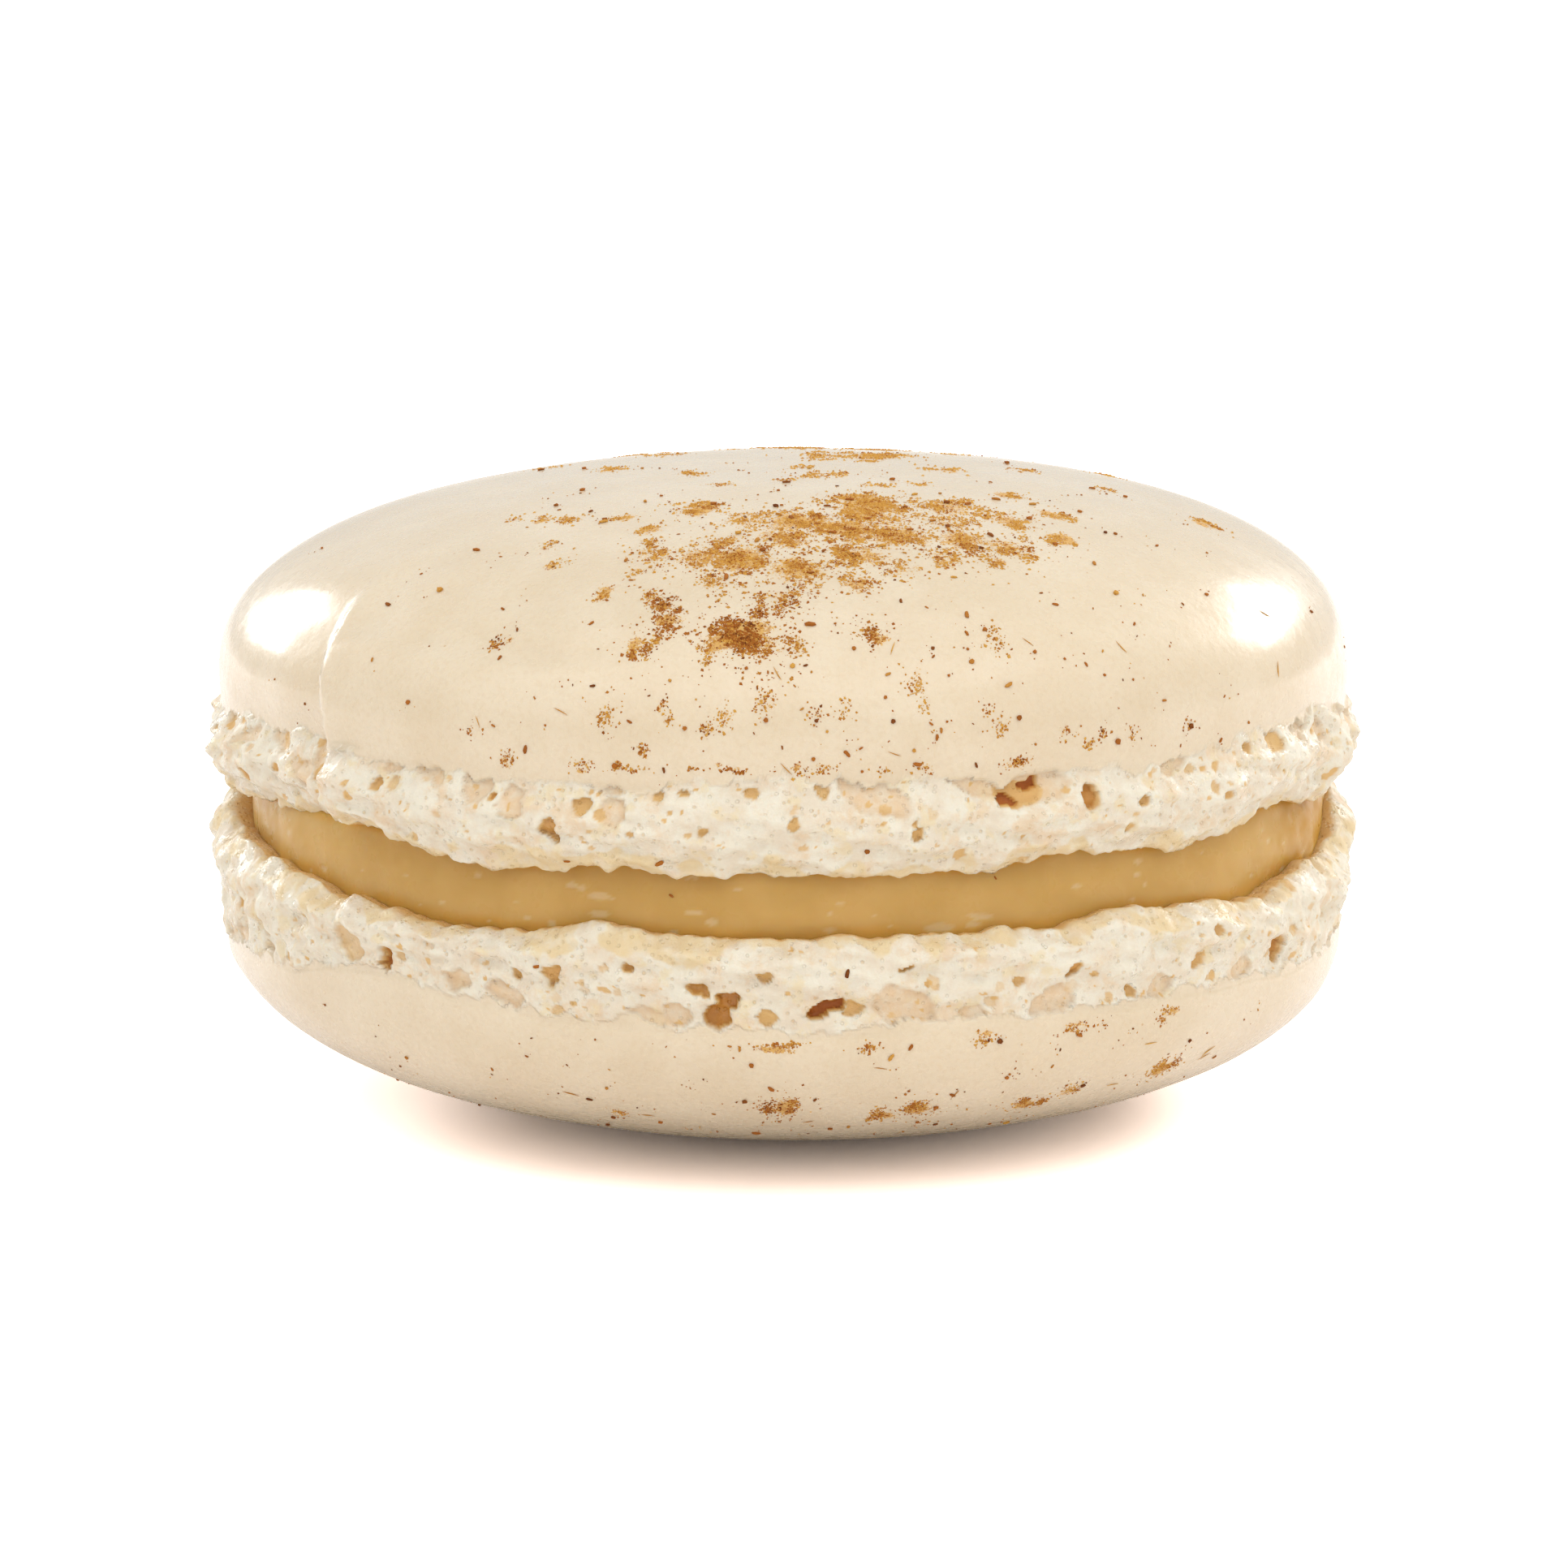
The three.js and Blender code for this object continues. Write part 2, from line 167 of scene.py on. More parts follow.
LOWER_HOLES = [
    (-5.8, 1.75, 0.75, 0.75, 1.1, 0.9), (-6.9, 2.35, 0.95, 0.9, 1.1, 0.88),
    (3.3, 2.0, 1.5, 0.58, 1.2, 1.0), (5.9, 2.05, 0.8, 0.6, 0.5, 0.6),
    (-8.5, 1.3, 0.85, 0.42, 0.6, 0.75), (-42.3, 1.3, 0.6, 1.09, 1.0, 0.95),
    (-47.2, 0.9, 1.7, 1.3, 0.5, 0.32), (-22.8, 1.0, 0.75, 0.9, 0.7, 0.68),
    (-26.7, 1.15, 0.42, 0.48, 0.5, 0.6), (-15.2, 0.6, 0.4, 0.45, 0.5, 0.7),
    (10.9, 0.55, 0.6, 0.2, 0.4, 0.75), (13.0, 1.15, 0.25, 0.25, 0.3, 0.6),
    (-2.0, 2.4, 0.75, 0.6, 0.5, 0.5), (-2.3, 0.75, 0.5, 0.45, 0.5, 0.6),
    (34.6, 2.3, 0.6, 0.6, 0.5, 0.6), (45.2, 0.4, 0.5, 0.5, 0.4, 0.6),
    (57.2, 1.9, 0.9, 0.97, 1.0, 0.85), (42.9, 1.5, 0.48, 0.79, 0.5, 0.6),
    (27.6, 1.1, 0.67, 0.42, 0.7, 0.75), (22.0, 1.3, 0.5, 0.5, 0.4, 0.55),
]
# Hollows of the lower foot, with the same painted rose shade
LOWER_HOLLOWS = [
    (10.9, 2.1, 2.6, 1.6, 0.3), (-13.8, 2.5, 1.9, 0.7, 0.25), (-10.5, 2.3, 0.9, 0.9, 0.3),
    (25.6, 2.3, 1.9, 1.1, 0.28), (17.6, 2.5, 1.0, 0.8, 0.25), (-28.0, 2.0, 1.6, 0.8, 0.28),
    (-33.5, 1.6, 1.2, 0.8, 0.25), (38.5, 2.3, 1.3, 0.9, 0.28), (50.0, 2.2, 1.4, 0.9, 0.28),
]

# The patches of cinnamon on the dome: x, y, width, how thickly it lies (1 hides the skin) and
# how dark it is
UPPER_POWDER = [
    (2.2, -13.0, 2.8, 0.94, 0.17), (3.2, -9.8, 2.8, 0.96, 0.07), (-1.8, -15.8, 2.8, 0.81, 0.15),
    (0.4, -11.8, 2.8, 0.82, 0.07), (0.4, -16.8, 2.8, 0.66, 0.16), (4.2, -13.2, 2.8, 0.62, 0.15),
    (6.6, -13.2, 2.6, 0.59, 0.1), (2.6, -15.4, 2.8, 0.61, 0.11), (6.0, -9.4, 2.6, 0.55, 0.03),
    (-1.8, -20.3, 2.2, 1.0, 0.46), (-0.9, -20.9, 1.3, 0.5, 0.35), (-1.9, -20.3, 1.2, 1.0, 0.65),
    (-3.6, -9.8, 1.9, 0.94, 0.05), (2.8, -8.4, 2.6, 0.59, 0.06), (3.6, 2.6, 2.4, 0.57, 0.0),
    (0.0, -14.0, 2.8, 0.54, 0.15), (-3.2, -15.4, 2.6, 0.5, 0.16), (3.2, -11.2, 2.8, 0.47, 0.08),
    (8.4, -13.2, 2.4, 0.48, 0.07), (2.6, -17.4, 1.6, 0.6, 0.2), (-4.3, -19.3, 1.3, 0.95, 0.45),
    (-5.4, -20.1, 1.2, 0.75, 0.42), (-4.6, -18.3, 0.8, 0.8, 0.3), (16.4, -4.0, 1.2, 0.9, 0.13),
    (8.6, -10.2, 1.9, 0.65, 0.04), (10.4, -11.6, 1.2, 0.92, 0.11), (5.8, -15.2, 1.9, 0.45, 0.09),
    (-0.2, -18.6, 1.7, 0.5, 0.23), (-5.2, -14.2, 1.2, 0.76, 0.08), (-1.4, -11.6, 2.4, 0.38, 0.05),
    (6.2, -11.4, 2.4, 0.35, 0.02), (-2.4, -14.0, 1.2, 0.73, 0.14), (8.8, -6.2, 1.2, 0.77, 0.0),
    (1.8, 3.0, 2.4, 0.3, 0.0), (10.4, -8.6, 1.2, 0.72, 0.03), (7.8, -14.8, 1.2, 0.66, 0.1),
    (-2.6, -17.2, 1.8, 0.4, 0.2), (-5.4, -12.2, 1.2, 0.66, 0.13), (-8.4, -9.6, 1.2, 0.62, 0.01),
    (6.8, -8.2, 1.2, 0.57, 0.05), (3.1, -20.0, 0.9, 0.75, 0.45), (4.2, -16.4, 1.6, 0.35, 0.16),
    (-7.0, 0.2, 1.2, 0.49, 0.0), (-6.2, -10.2, 0.7, 0.86, 0.07), (-6.8, -17.2, 0.8, 0.84, 0.18),
    (-5.0, -15.0, 2.0, 0.3, 0.14), (4.0, 3.8, 1.9, 0.31, 0.0), (0.0, -20.6, 1.2, 0.4, 0.22),
    (-5.2, -18.0, 0.7, 0.79, 0.28), (-9.2, -9.0, 0.7, 0.73, 0.02), (-8.6, -14.4, 0.7, 0.75, 0.09),
    (0.6, -0.8, 0.8, 0.71, 0.0), (3.2, 1.2, 1.2, 0.39, 0.0), (-3.0, -20.4, 1.2, 0.34, 0.17),
    (3.6, -5.6, 0.9, 0.53, 0.0), (-10.6, -17.8, 0.7, 0.6, 0.18), (-9.0, -12.4, 0.7, 0.54, 0.41),
    (1.6, 1.6, 0.7, 0.47, 0.0), (7.4, -9.8, 2.4, 0.2, 0.03), (5.0, -5.0, 0.9, 0.47, 0.0),
    (1.6, 4.4, 1.2, 0.29, 0.0), (-2.6, -5.6, 0.8, 0.47, 0.0), (-10.4, -8.4, 0.7, 0.48, 0.07),
    (-5.8, -16.2, 0.7, 0.46, 0.16), (-0.2, -4.6, 0.8, 0.44, 0.02), (-7.2, 1.0, 0.8, 0.49, 0.0),
    (7.5, -19.3, 0.9, 0.4, 0.25), (1.5, -3.0, 2.2, 0.35, 0.05), (6.2, -1.5, 1.6, 0.4, 0.0),
    (-3.4, -2.2, 1.4, 0.4, 0.05), (9.5, 0.8, 1.3, 0.35, 0.05), (-4.8, 5.6, 1.5, 0.35, 0.0),
    (0.6, 7.6, 1.6, 0.35, 0.05), (6.8, 6.4, 1.3, 0.3, 0.0), (-9.6, 4.2, 1.0, 0.3, 0.05),
    (3.6, 10.8, 1.4, 0.25, 0.0), (-2.6, 11.6, 1.0, 0.25, 0.0), (12.6, -1.6, 1.0, 0.35, 0.05),
    (0.5, 9.5, 3.2, 0.5, 0.0), (-2.0, 13.2, 2.6, 0.45, 0.0), (3.8, 8.6, 2.6, 0.45, 0.0),
    (-6.0, 8.6, 2.2, 0.35, 0.0), (8.0, 10.0, 2.2, 0.4, 0.0), (13.0, 5.0, 1.5, 0.45, 0.0),
    (4.0, 14.5, 2.4, 0.4, 0.0),
]
# Patches low on the sides, which lie on the steep skin: angle, height from the inner face,
# width, height, thickness and darkness
UPPER_SIDE_POWDER = [
    (-17.0, 5.7, 1.0, 1.3, 0.25, 0.15), (-5.9, 3.56, 2.2, 0.26, 0.6, 0.3),
    (21.8, 3.5, 1.4, 0.4, 0.55, 0.3), (-1.9, 5.92, 0.8, 0.8, 0.45, 0.2),
    (-19.4, 3.6, 0.9, 0.3, 0.6, 0.35), (-27.2, 3.6, 0.7, 0.4, 0.6, 0.25),
    (-5.8, 5.49, 0.6, 0.6, 0.5, 0.12), (-15.5, 3.5, 1.4, 0.22, 0.7, 0.15),
    (-7.4, 5.0, 0.5, 0.6, 0.7, 0.3), (-13.7, 4.27, 0.45, 0.6, 0.65, 0.3),
    (31.5, 4.33, 0.5, 0.45, 0.7, 0.55), (20.6, 4.93, 0.45, 0.6, 0.55, 0.12),
    (12.9, 3.52, 0.7, 0.22, 0.6, 0.15), (5.3, 5.68, 0.5, 0.7, 0.3, 0.25),
    (34.7, 4.24, 0.4, 0.5, 0.5, 0.4), (2.7, 5.62, 0.4, 0.3, 0.75, 0.38),
    (29.9, 3.97, 0.3, 0.3, 0.9, 0.3), (27.3, 4.47, 0.4, 0.4, 0.5, 0.25),
    (3.3, 3.55, 0.6, 0.18, 0.85, 0.4), (-11.9, 5.92, 0.3, 0.3, 0.8, 0.38),
    (42.1, 4.11, 0.45, 0.3, 0.6, 0.5), (9.0, 3.5, 0.6, 0.2, 0.6, 0.25),
    (1.4, 3.55, 0.6, 0.18, 0.8, 0.15), (19.2, 5.57, 0.4, 0.4, 0.35, 0.4),
    (-11.3, 5.33, 0.4, 0.3, 0.7, 0.05), (-31.0, 4.6, 0.3, 0.3, 0.8, 0.5),
    (12.4, 6.67, 0.7, 1.2, 0.45, 0.15),
]
LOWER_SIDE_POWDER = [
    (-0.6, 6.1, 1.4, 1.1, 1.0, 0.4), (13.6, 6.4, 1.7, 0.8, 0.9, 0.35),
    (10.0, 6.7, 1.2, 0.7, 0.85, 0.35), (26.0, 6.6, 1.9, 0.55, 0.95, 0.35),
    (30.5, 6.1, 1.0, 0.5, 0.7, 0.3), (42.1, 5.8, 1.4, 0.8, 0.95, 0.4),
    (39.4, 3.3, 1.2, 0.35, 0.7, 0.35), (-1.3, 3.4, 2.0, 0.2, 0.95, 0.3),
    (7.2, 3.5, 1.0, 0.3, 0.7, 0.3), (19.1, 3.4, 1.0, 0.35, 0.65, 0.25),
    (28.6, 3.4, 1.6, 0.3, 0.6, 0.25), (-19.0, 6.9, 0.9, 0.5, 0.5, 0.2),
]

# Single crumbs that stand out: the piece, angle, level above the floor, size and darkness
LONE_CRUMBS = [
    ("upper", 7.3, 14.08, 0.13, 0.75), ("lower", 5.3, 9.65, 0.14, 0.95),
    ("upper", -52.3, 16.1, 0.17, 0.6), ("upper", 42.3, 17.7, 0.14, 0.9),
    ("cream", -11.6, 12.2, 0.08, 0.7), ("upper", -21.3, 13.5, 0.1, 0.6),
    ("upper", -12.2, 13.6, 0.16, 0.5), ("lower", -3.6, 6.1, 0.12, 0.7),
    ("upper", 33.0, 17.5, 0.15, 0.7), ("lower", -24.2, 9.5, 0.12, 0.6),
    ("cream", 21.0, 12.6, 0.06, 0.7), ("upper", -25.2, 17.6, 0.13, 0.75),
]

# Grains to a square millimetre of a full patch: on top, on the steep skin in front of FRONT, and
# low on the sides
GRAINS_ON_TOP = 125
GRAINS_IN_FRONT = 215
GRAINS_ON_SIDE = 240
FRONT = -17.5

# Shares of the depths of named holes and hollows that the mesh takes
HOLE_SINK = 0.55
HOLLOW_SINK = 0.7

# How many columns and rows the visible surfaces have: fine round the foot, coarser on the dome
FOOT_COLUMNS = 1440
FOOT_ROWS = 40
EDGE_ROWS = 5
DOME_COLUMNS = 480
DOME_ROWS = 46
CREAM_COLUMNS = 900

# Steps of the even-spread rule: pairs that never line up
PAIR_STEP = (0.7548776662, 0.5698402910)

# The corners of a lattice cell, and the cells next to one
CORNERS = np.array([(a, b, c) for a in (0, 1) for b in (0, 1) for c in (0, 1)])
NEIGHBOURS = np.array([(a, b, c) for a in (-1, 0, 1) for b in (-1, 0, 1) for c in (-1, 0, 1)])

# Base colours, fitted so that the render under these lights looks like the photo
SKIN_PALE = (0.710, 0.600, 0.435)
SKIN_WARM = (0.675, 0.555, 0.385)
SKIN_TOASTED = (0.600, 0.450, 0.270)
SPECK_BROWN = (0.500, 0.270, 0.090)
FOOT_WHITE = (0.748, 0.694, 0.565)
FOOT_CREAM = (0.710, 0.620, 0.480)
# The foam's own rosy tint, and also the painted shade in the hollows
FOOT_ROSE_AND_HOLLOW_SHADE = (0.700, 0.510, 0.310)
FOOT_YELLOW = (0.730, 0.600, 0.360)
FOOT_SOAKED = (0.700, 0.540, 0.290)
# Painted shade for the pores and holes of the foam: tan, orange brown and deepest brown
HOLE_SHADE_TAN = (0.660, 0.420, 0.165)
HOLE_SHADE_BROWN = (0.550, 0.260, 0.055)
HOLE_SHADE_DEEP = (0.400, 0.120, 0.020)
CREAM_LIGHT = (0.565, 0.352, 0.115)
CREAM_WARM = (0.530, 0.322, 0.096)
# Painted shade where the shells' lips overhang the cream
CREAM_SHADE_BY_SHELLS = (0.590, 0.315, 0.063)
# Painted shade of the shaded lumps at the right end of the cream
CREAM_RIGHT_END_SHADE = (0.450, 0.225, 0.022)
FOOT_AMBER = (0.640, 0.380, 0.120)
BUBBLE_PALE = (0.650, 0.480, 0.250)
CINNAMON_GOLD = (0.610, 0.335, 0.065)
CINNAMON_BROWN = (0.360, 0.115, 0.015)
CINNAMON_DARK = (0.120, 0.030, 0.005)
FLOOR_WHITE = (0.980, 0.940, 0.920)
FLOOR_SHOWN = (2.500, 2.350, 2.400)


def smooth(value):
    value = np.clip(value, 0.0, 1.0)
    return value * value * (3.0 - 2.0 * value)


def mix(start, end, share):
    return start + (end - start) * share


def waves(terms, angle):
    """A sum of waves round the macaron, each with its size, its count and its phase."""
    return sum(size * np.sin(count * angle + phase) for size, count, phase in terms)


def lump(terms, angle, height):
    """The lumps of a foot: waves that lean as they climb, so that they break up into knobs."""
    return sum(
        size * np.sin(count * angle + climb * height + phase) * np.cos(climb * 1.3 * height + phase)
        for size, count, climb, phase in terms
    )


def degrees_apart(angle, other):
    return (np.degrees(angle) - other + 180.0) % 360.0 - 180.0


def along_rim(degrees, radius=RIM):
    return degrees / RADIAN * radius

def round_rim(angle, height):
    """Places on a plain cylinder, on which noise runs evenly round the macaron."""
    return np.stack([RIM * np.sin(angle), RIM * np.cos(angle), height], axis=1)

def rise_of_edge(shell, angle):
    size, middle, spread = shell["edge_rise"]
    off = degrees_apart(angle, middle) / spread
    return size * np.exp(-off * off) + waves(shell["wave_of_edge"], angle)


def reach_of_lip(shell, angle):
    reach = waves(shell["ragged_lip"], angle)
    for size, middle, spread in shell["lip_growth"]:
        off = degrees_apart(angle, middle) / spread
        reach = reach - size * np.exp(-off ** 4)
    return reach


def crease_depth(shell, angle, height):
    crease = shell["crease"]
    climb = np.maximum(0.0, height - shell["skin_height"])
    behind = crease["angle"] + crease["lean"] * climb - degrees_apart(angle, 0.0)
    fade = crease["fade"]
    along = smooth(behind / crease["step"]) * (
        1.0 - smooth((behind - crease["step"]) / crease["recovery"]))
    share = mix(1.0, crease["on_skin"], smooth(climb / 1.5)) * (1.0 - smooth((climb - fade) / fade))
    lobe = crease["lobe"] * np.exp(-((behind + 2.4) / 2.6) ** 2) * (climb < 0.01)
    return crease["size"] * along * share - lobe


def fold_depth(shell, angle, height, place):
    """How far the skin falls back above the fold, which runs on from the top of the crease."""
    size, level, left, right = shell["fold"]
    turn = degrees_apart(angle, 0.0)
    along = smooth((turn - left) / 7.0) * (1.0 - smooth((turn - right) / 22.0))
    above = height - level - 0.25 * noise_at(place, 2.5, 31)
    step = smooth(above / 0.8) * (1.0 - smooth((above - 1.0) / 3.5))
    return along * size * step * (1.0 + 0.5 * noise_at(place * (0.6, 0.6, 1.5), 1.5, 32))


def foot_radius(shell, share):
    """The radius of a foot from its lip, where share is 0, to the skin, where it is 1
    and the foot is flush with it."""
    out = np.sin(np.pi / 2 * np.clip(share / shell["foot_share"], 0.0, 1.0))
    back = np.clip((share - shell["foot_share"]) / (1.0 - shell["foot_share"]), 0.0, 1.0)
    below = mix(shell["lip_radius"], shell["foot_radius"], out)
    above = mix(shell["foot_radius"], shell["skin_radius"] - 0.02, smooth(back))
    return np.where(share < shell["foot_share"], below, above)


def dome_ring(shell, turn):
    """Radius and height on the superellipse of a dome; turn is 0 at its middle."""
    radius = shell["dome_radius"] * np.sin(turn) ** (2.0 / shell["roundness"])
    height = shell["dome_base"] + shell["dome_height"] * np.maximum(np.cos(turn), 0.0) ** (
        2.0 / shell["flatness"])
    return radius, height


def corner_values(cell, seed):
    """A value from 0 to 1 for each whole-numbered corner of a lattice, the same on every run."""
    mixed = (cell[:, 0] * 73856093) ^ (cell[:, 1] * 19349663)
    mixed = mixed ^ (cell[:, 2] * 83492791) ^ (seed * 2654435761)
    mixed = (mixed ^ (mixed >> 13)) * 1274126177
    mixed = (mixed ^ (mixed >> 16)) & 0xFFFFFF
    return mixed / float(0xFFFFFF)


def noise_at(points, size, seed):
    """Smooth noise between -1 and 1 at points in millimetres."""
    total = np.zeros(len(points))
    for share, finer in ((0.72, 1.0), (0.28, 2.1)):
        scaled = points / size * finer + 1000.0 + 0.37 * seed
        cell = np.floor(scaled).astype(np.int64)
        part = scaled - cell
        part = part * part * (3.0 - 2.0 * part)
        for corner in CORNERS:
            weight = np.prod(np.where(corner, part, 1.0 - part), axis=1)
            total += share * weight * (2.0 * corner_values(cell + corner, seed) - 1.0)
    return np.clip(total * 1.6, -1.0, 1.0)


def layered_noise(points, seed, *layers):
    """Noise of several sizes on top of each other; each layer is its strength and its size."""
    return sum(strength * noise_at(points, size, seed + number)
               for number, (strength, size) in enumerate(layers))

def cells_at(points, size, seed):
    """The distances to the nearest and the second nearest of scattered cell middles."""
    scaled = points / size + 1000.0
    cell = np.floor(scaled).astype(np.int64)
    first = np.full(len(points), 9.0)
    second = np.full(len(points), 9.0)
    for step in NEIGHBOURS:
        other = cell + step
        jitter = np.stack([corner_values(other, seed + number) for number in range(3)], axis=1)
        off = np.linalg.norm(other + jitter - scaled, axis=1)
        second = np.minimum(second, np.maximum(first, off))
        first = np.minimum(first, off)
    return first, second


def box_shift():
    """How far the solids were moved, so that the origin is under the middle of their box."""
    columns = np.arange(96) * 2.0 * np.pi / 96
    radius = CREAM_RADIUS + CREAM_BULGE + waves(CREAM_OUTLINE, columns)
    x = radius * np.sin(columns)
    y = -radius * np.cos(columns)
    low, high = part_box("filling")
    return (
        (low[0] + high[0]) / 2 / MM - (x.min() + x.max()) / 2,
        (low[1] + high[1]) / 2 / MM - (y.min() + y.max()) / 2,
        (low[2] + high[2]) / 2 / MM - (LOWER_FACE + UPPER_FACE) / 2,
    )


SHIFT = np.array(box_shift())


def select_only(piece):
    for other in bpy.context.view_layer.objects:
        other.select_set(False)
    piece.select_set(True)
    bpy.context.view_layer.objects.active = piece


def turned_profile(name, profile, columns):
    """A body of revolution, drawn as a chain of points and turned about the upright axis."""
    bpy.ops.object.select_all(action="DESELECT")
    bpy.ops.mesh.primitive_plane_add(size=MM, location=(0.0, 0.0, 0.0))
    piece = bpy.context.object
    piece.name = name
    piece.data.name = name
    bpy.ops.object.mode_set(mode="EDIT")
    bpy.ops.mesh.select_mode(type="VERT")
    bpy.ops.mesh.select_all(action="SELECT")
    bpy.ops.mesh.merge(type="CENTER")
    bpy.ops.transform.translate(value=(0.0, -profile[0][0] * MM, profile[0][1] * MM))
    for (radius, level), (next_radius, next_level) in zip(profile[:-1], profile[1:]):
        step = (0.0, (radius - next_radius) * MM, (next_level - level) * MM)
        bpy.ops.mesh.extrude_region_move(TRANSFORM_OT_translate={"value": step})
    bpy.ops.object.mode_set(mode="OBJECT")
    turned = piece.modifiers.new("turned", "SCREW")
    turned.axis = "Z"
    turned.angle = 2.0 * math.pi
    turned.steps = turned.render_steps = columns
    turned.use_merge_vertices = True
    turned.merge_threshold = 0.001 * MM
    bpy.ops.object.modifier_apply(modifier=turned.name)
    bpy.ops.object.mode_set(mode="EDIT")
    bpy.ops.mesh.select_all(action="SELECT")
    bpy.ops.mesh.remove_doubles(threshold=0.002 * MM)
    bpy.ops.mesh.normals_make_consistent(inside=False)
    bpy.ops.object.mode_set(mode="OBJECT")
    return piece


def vertices_of(piece):
    place = np.empty(len(piece.data.vertices) * 3)
    piece.data.vertices.foreach_get("co", place)
    return place.reshape(-1, 3) / MM


def rings_of(piece, profile):
    """Each vertex's angle round the macaron, and the number of the profile's point it came from."""
    place = vertices_of(piece)
    angle = np.arctan2(place[:, 0], -place[:, 1])
    radius = np.hypot(place[:, 0], place[:, 1])
    rings = np.array(profile)
    row = np.empty(len(place), dtype=int)
    for start in range(0, len(place), 20000):
        part = slice(start, start + 20000)
        off = np.abs(radius[part, None] - rings[None, :, 0]) + np.abs(
            place[part, 2, None] - rings[None, :, 1])
        row[part] = off.argmin(axis=1)
    return angle, row


def bridge_pieces(piece, other, ring, other_ring):
    """Joins two turned bodies and closes the gap between one ring of each."""
    select_only(piece)
    other.select_set(True)
    bpy.ops.object.join()
    place = vertices_of(piece)
    radius = np.hypot(place[:, 0], place[:, 1])
    chosen = np.zeros(len(place), dtype=bool)
    for ring_radius, level in (ring, other_ring):
        chosen |= (np.abs(radius - ring_radius) < 0.004) & (np.abs(place[:, 2] - level) < 0.004)
    bpy.ops.object.mode_set(mode="EDIT")
    bpy.ops.mesh.select_all(action="DESELECT")
    bpy.ops.mesh.select_mode(type="EDGE")
    bpy.ops.object.mode_set(mode="OBJECT")
    ends = np.empty(len(piece.data.edges) * 2, dtype=int)
    piece.data.edges.foreach_get("vertices", ends)
    ends = ends.reshape(-1, 2)
    level_step = np.abs(place[ends[:, 0], 2] - place[ends[:, 1], 2])
    piece.data.edges.foreach_set("select", chosen[ends].all(axis=1) & (level_step < 0.004))
    bpy.ops.object.mode_set(mode="EDIT")
    bpy.ops.mesh.bridge_edge_loops()
    bpy.ops.mesh.select_all(action="SELECT")
    bpy.ops.mesh.normals_make_consistent(inside=False)
    bpy.ops.object.mode_set(mode="OBJECT")


def put_vertices(piece, radius, angle, level):
    place = (round_place(radius, angle, level) + SHIFT) * MM
    piece.data.vertices.foreach_set("co", place.ravel())
    piece.data.update()


def put_attribute(piece, name, values):
    layer = piece.data.attributes.new(name, "FLOAT", "POINT")
    layer.data.foreach_set("value", np.asarray(values, dtype=np.float32))


def round_place(radius, angle, level):
    return np.stack([radius * np.sin(angle), -radius * np.cos(angle), level], axis=1)


def finish_piece(piece, material, slot, *nodes):
    piece.data.materials.clear()
    piece.data.materials.append(material)
    piece.data.polygons.foreach_set("use_smooth", [True] * len(piece.data.polygons))
    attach(piece, "root")
    if nodes:
        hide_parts(*nodes)
    return piece


def fine_rings(shell):
    """Rings from the middle of the inner face, round the lip and up the foot to the skin.

    Each is its kind, radius, height from the inner face and share of the way up the foot."""
    lip = shell["lip_height"]
    inside = shell["lip_inside"]
    rings = [
        ("face", 0.0, 0.0, 0.0),
        ("face", inside - 3.4, 0.0, 0.0),
        ("face", inside - 0.9, 0.0, 0.05),
        ("lip", inside - 0.55, 0.32 * lip, 0.32),
        ("lip", inside - 0.25, 0.7 * lip, 0.7),
        ("lip", inside + 0.08, 0.94 * lip, 0.94),
        ("lip", inside + 0.35, 1.0 * lip, 1.0),
    ]
    for number in range(FOOT_ROWS + 1):
        share = number / FOOT_ROWS
        height = mix(lip, shell["groove_height"], share)
        rings.append(("foot", float(foot_radius(shell, share)), height, share))
    for number in range(EDGE_ROWS):
        share = number / EDGE_ROWS
        bend = math.sin(math.pi / 2 * share)
        rings.append(("skin", mix(shell["skin_radius"], shell["dome_radius"], bend),
                      mix(shell["skin_height"], shell["dome_base"], share), 1.0))
    return rings


def dome_rings(shell):
    """Rings from the widest part of the dome to its middle."""
    rings = []
    for number in range(DOME_ROWS + 1):
        turn = math.pi / 2 * (1.0 - number / DOME_ROWS)
        radius, height = dome_ring(shell, turn)
        rings.append(("skin", float(radius) if number < DOME_ROWS else 0.0, float(height), 1.0))
    return rings


def spread_pairs(count, low, high, first=1):
    """Angles in degrees and heights, evenly spread over a foot."""
    numbers = np.arange(first, first + count)
    degrees = 360.0 * ((numbers * PAIR_STEP[0]) % 1.0) - 180.0
    height = mix(low, high, (numbers * PAIR_STEP[1]) % 1.0)
    return degrees, height


def scattered_holes(shell, named, draw):
    """The smaller holes that no list names, from pinpricks to bubbles a millimetre wide."""
    low, high = shell["lip_height"], shell["groove_height"]
    holes = []
    # The last value of each hole is how strong the painted shade inside it is
    degrees, heights = spread_pairs(26, mix(low, high, 0.25), mix(low, high, 0.85))
    for turn, up in zip(degrees, heights):
        width = mix(0.45, 1.2, draw.random() ** 2)
        if abs(turn) > 58:
            holes.append((turn, up, width, width * 0.8, 0.45 * width, draw.uniform(0.4, 0.8)))
    for count, small, large, tones in ((150, 0.25, 0.6, (0.2, 0.5)), (330, 0.13, 0.26, (0.25, 0.6))):
        for _ in range(count):
            width = mix(small, large, draw.random() ** 2.2)
            up = mix(low, high, 1.0 - abs(draw.normal(0.0, 0.45)) % 1.0)
            holes.append((draw.uniform(-180, 180), up, width, width * draw.uniform(0.6, 1.1),
                          width * draw.uniform(0.2, 0.45), draw.uniform(*tones)))
    keep = []
    for hole in holes:
        apart = [
            math.hypot(along_rim(hole[0] - other[0]), hole[1] - other[1]) < other[2] * 0.8
            for other in named
        ]
        if not any(apart):
            keep.append(hole)
    return keep


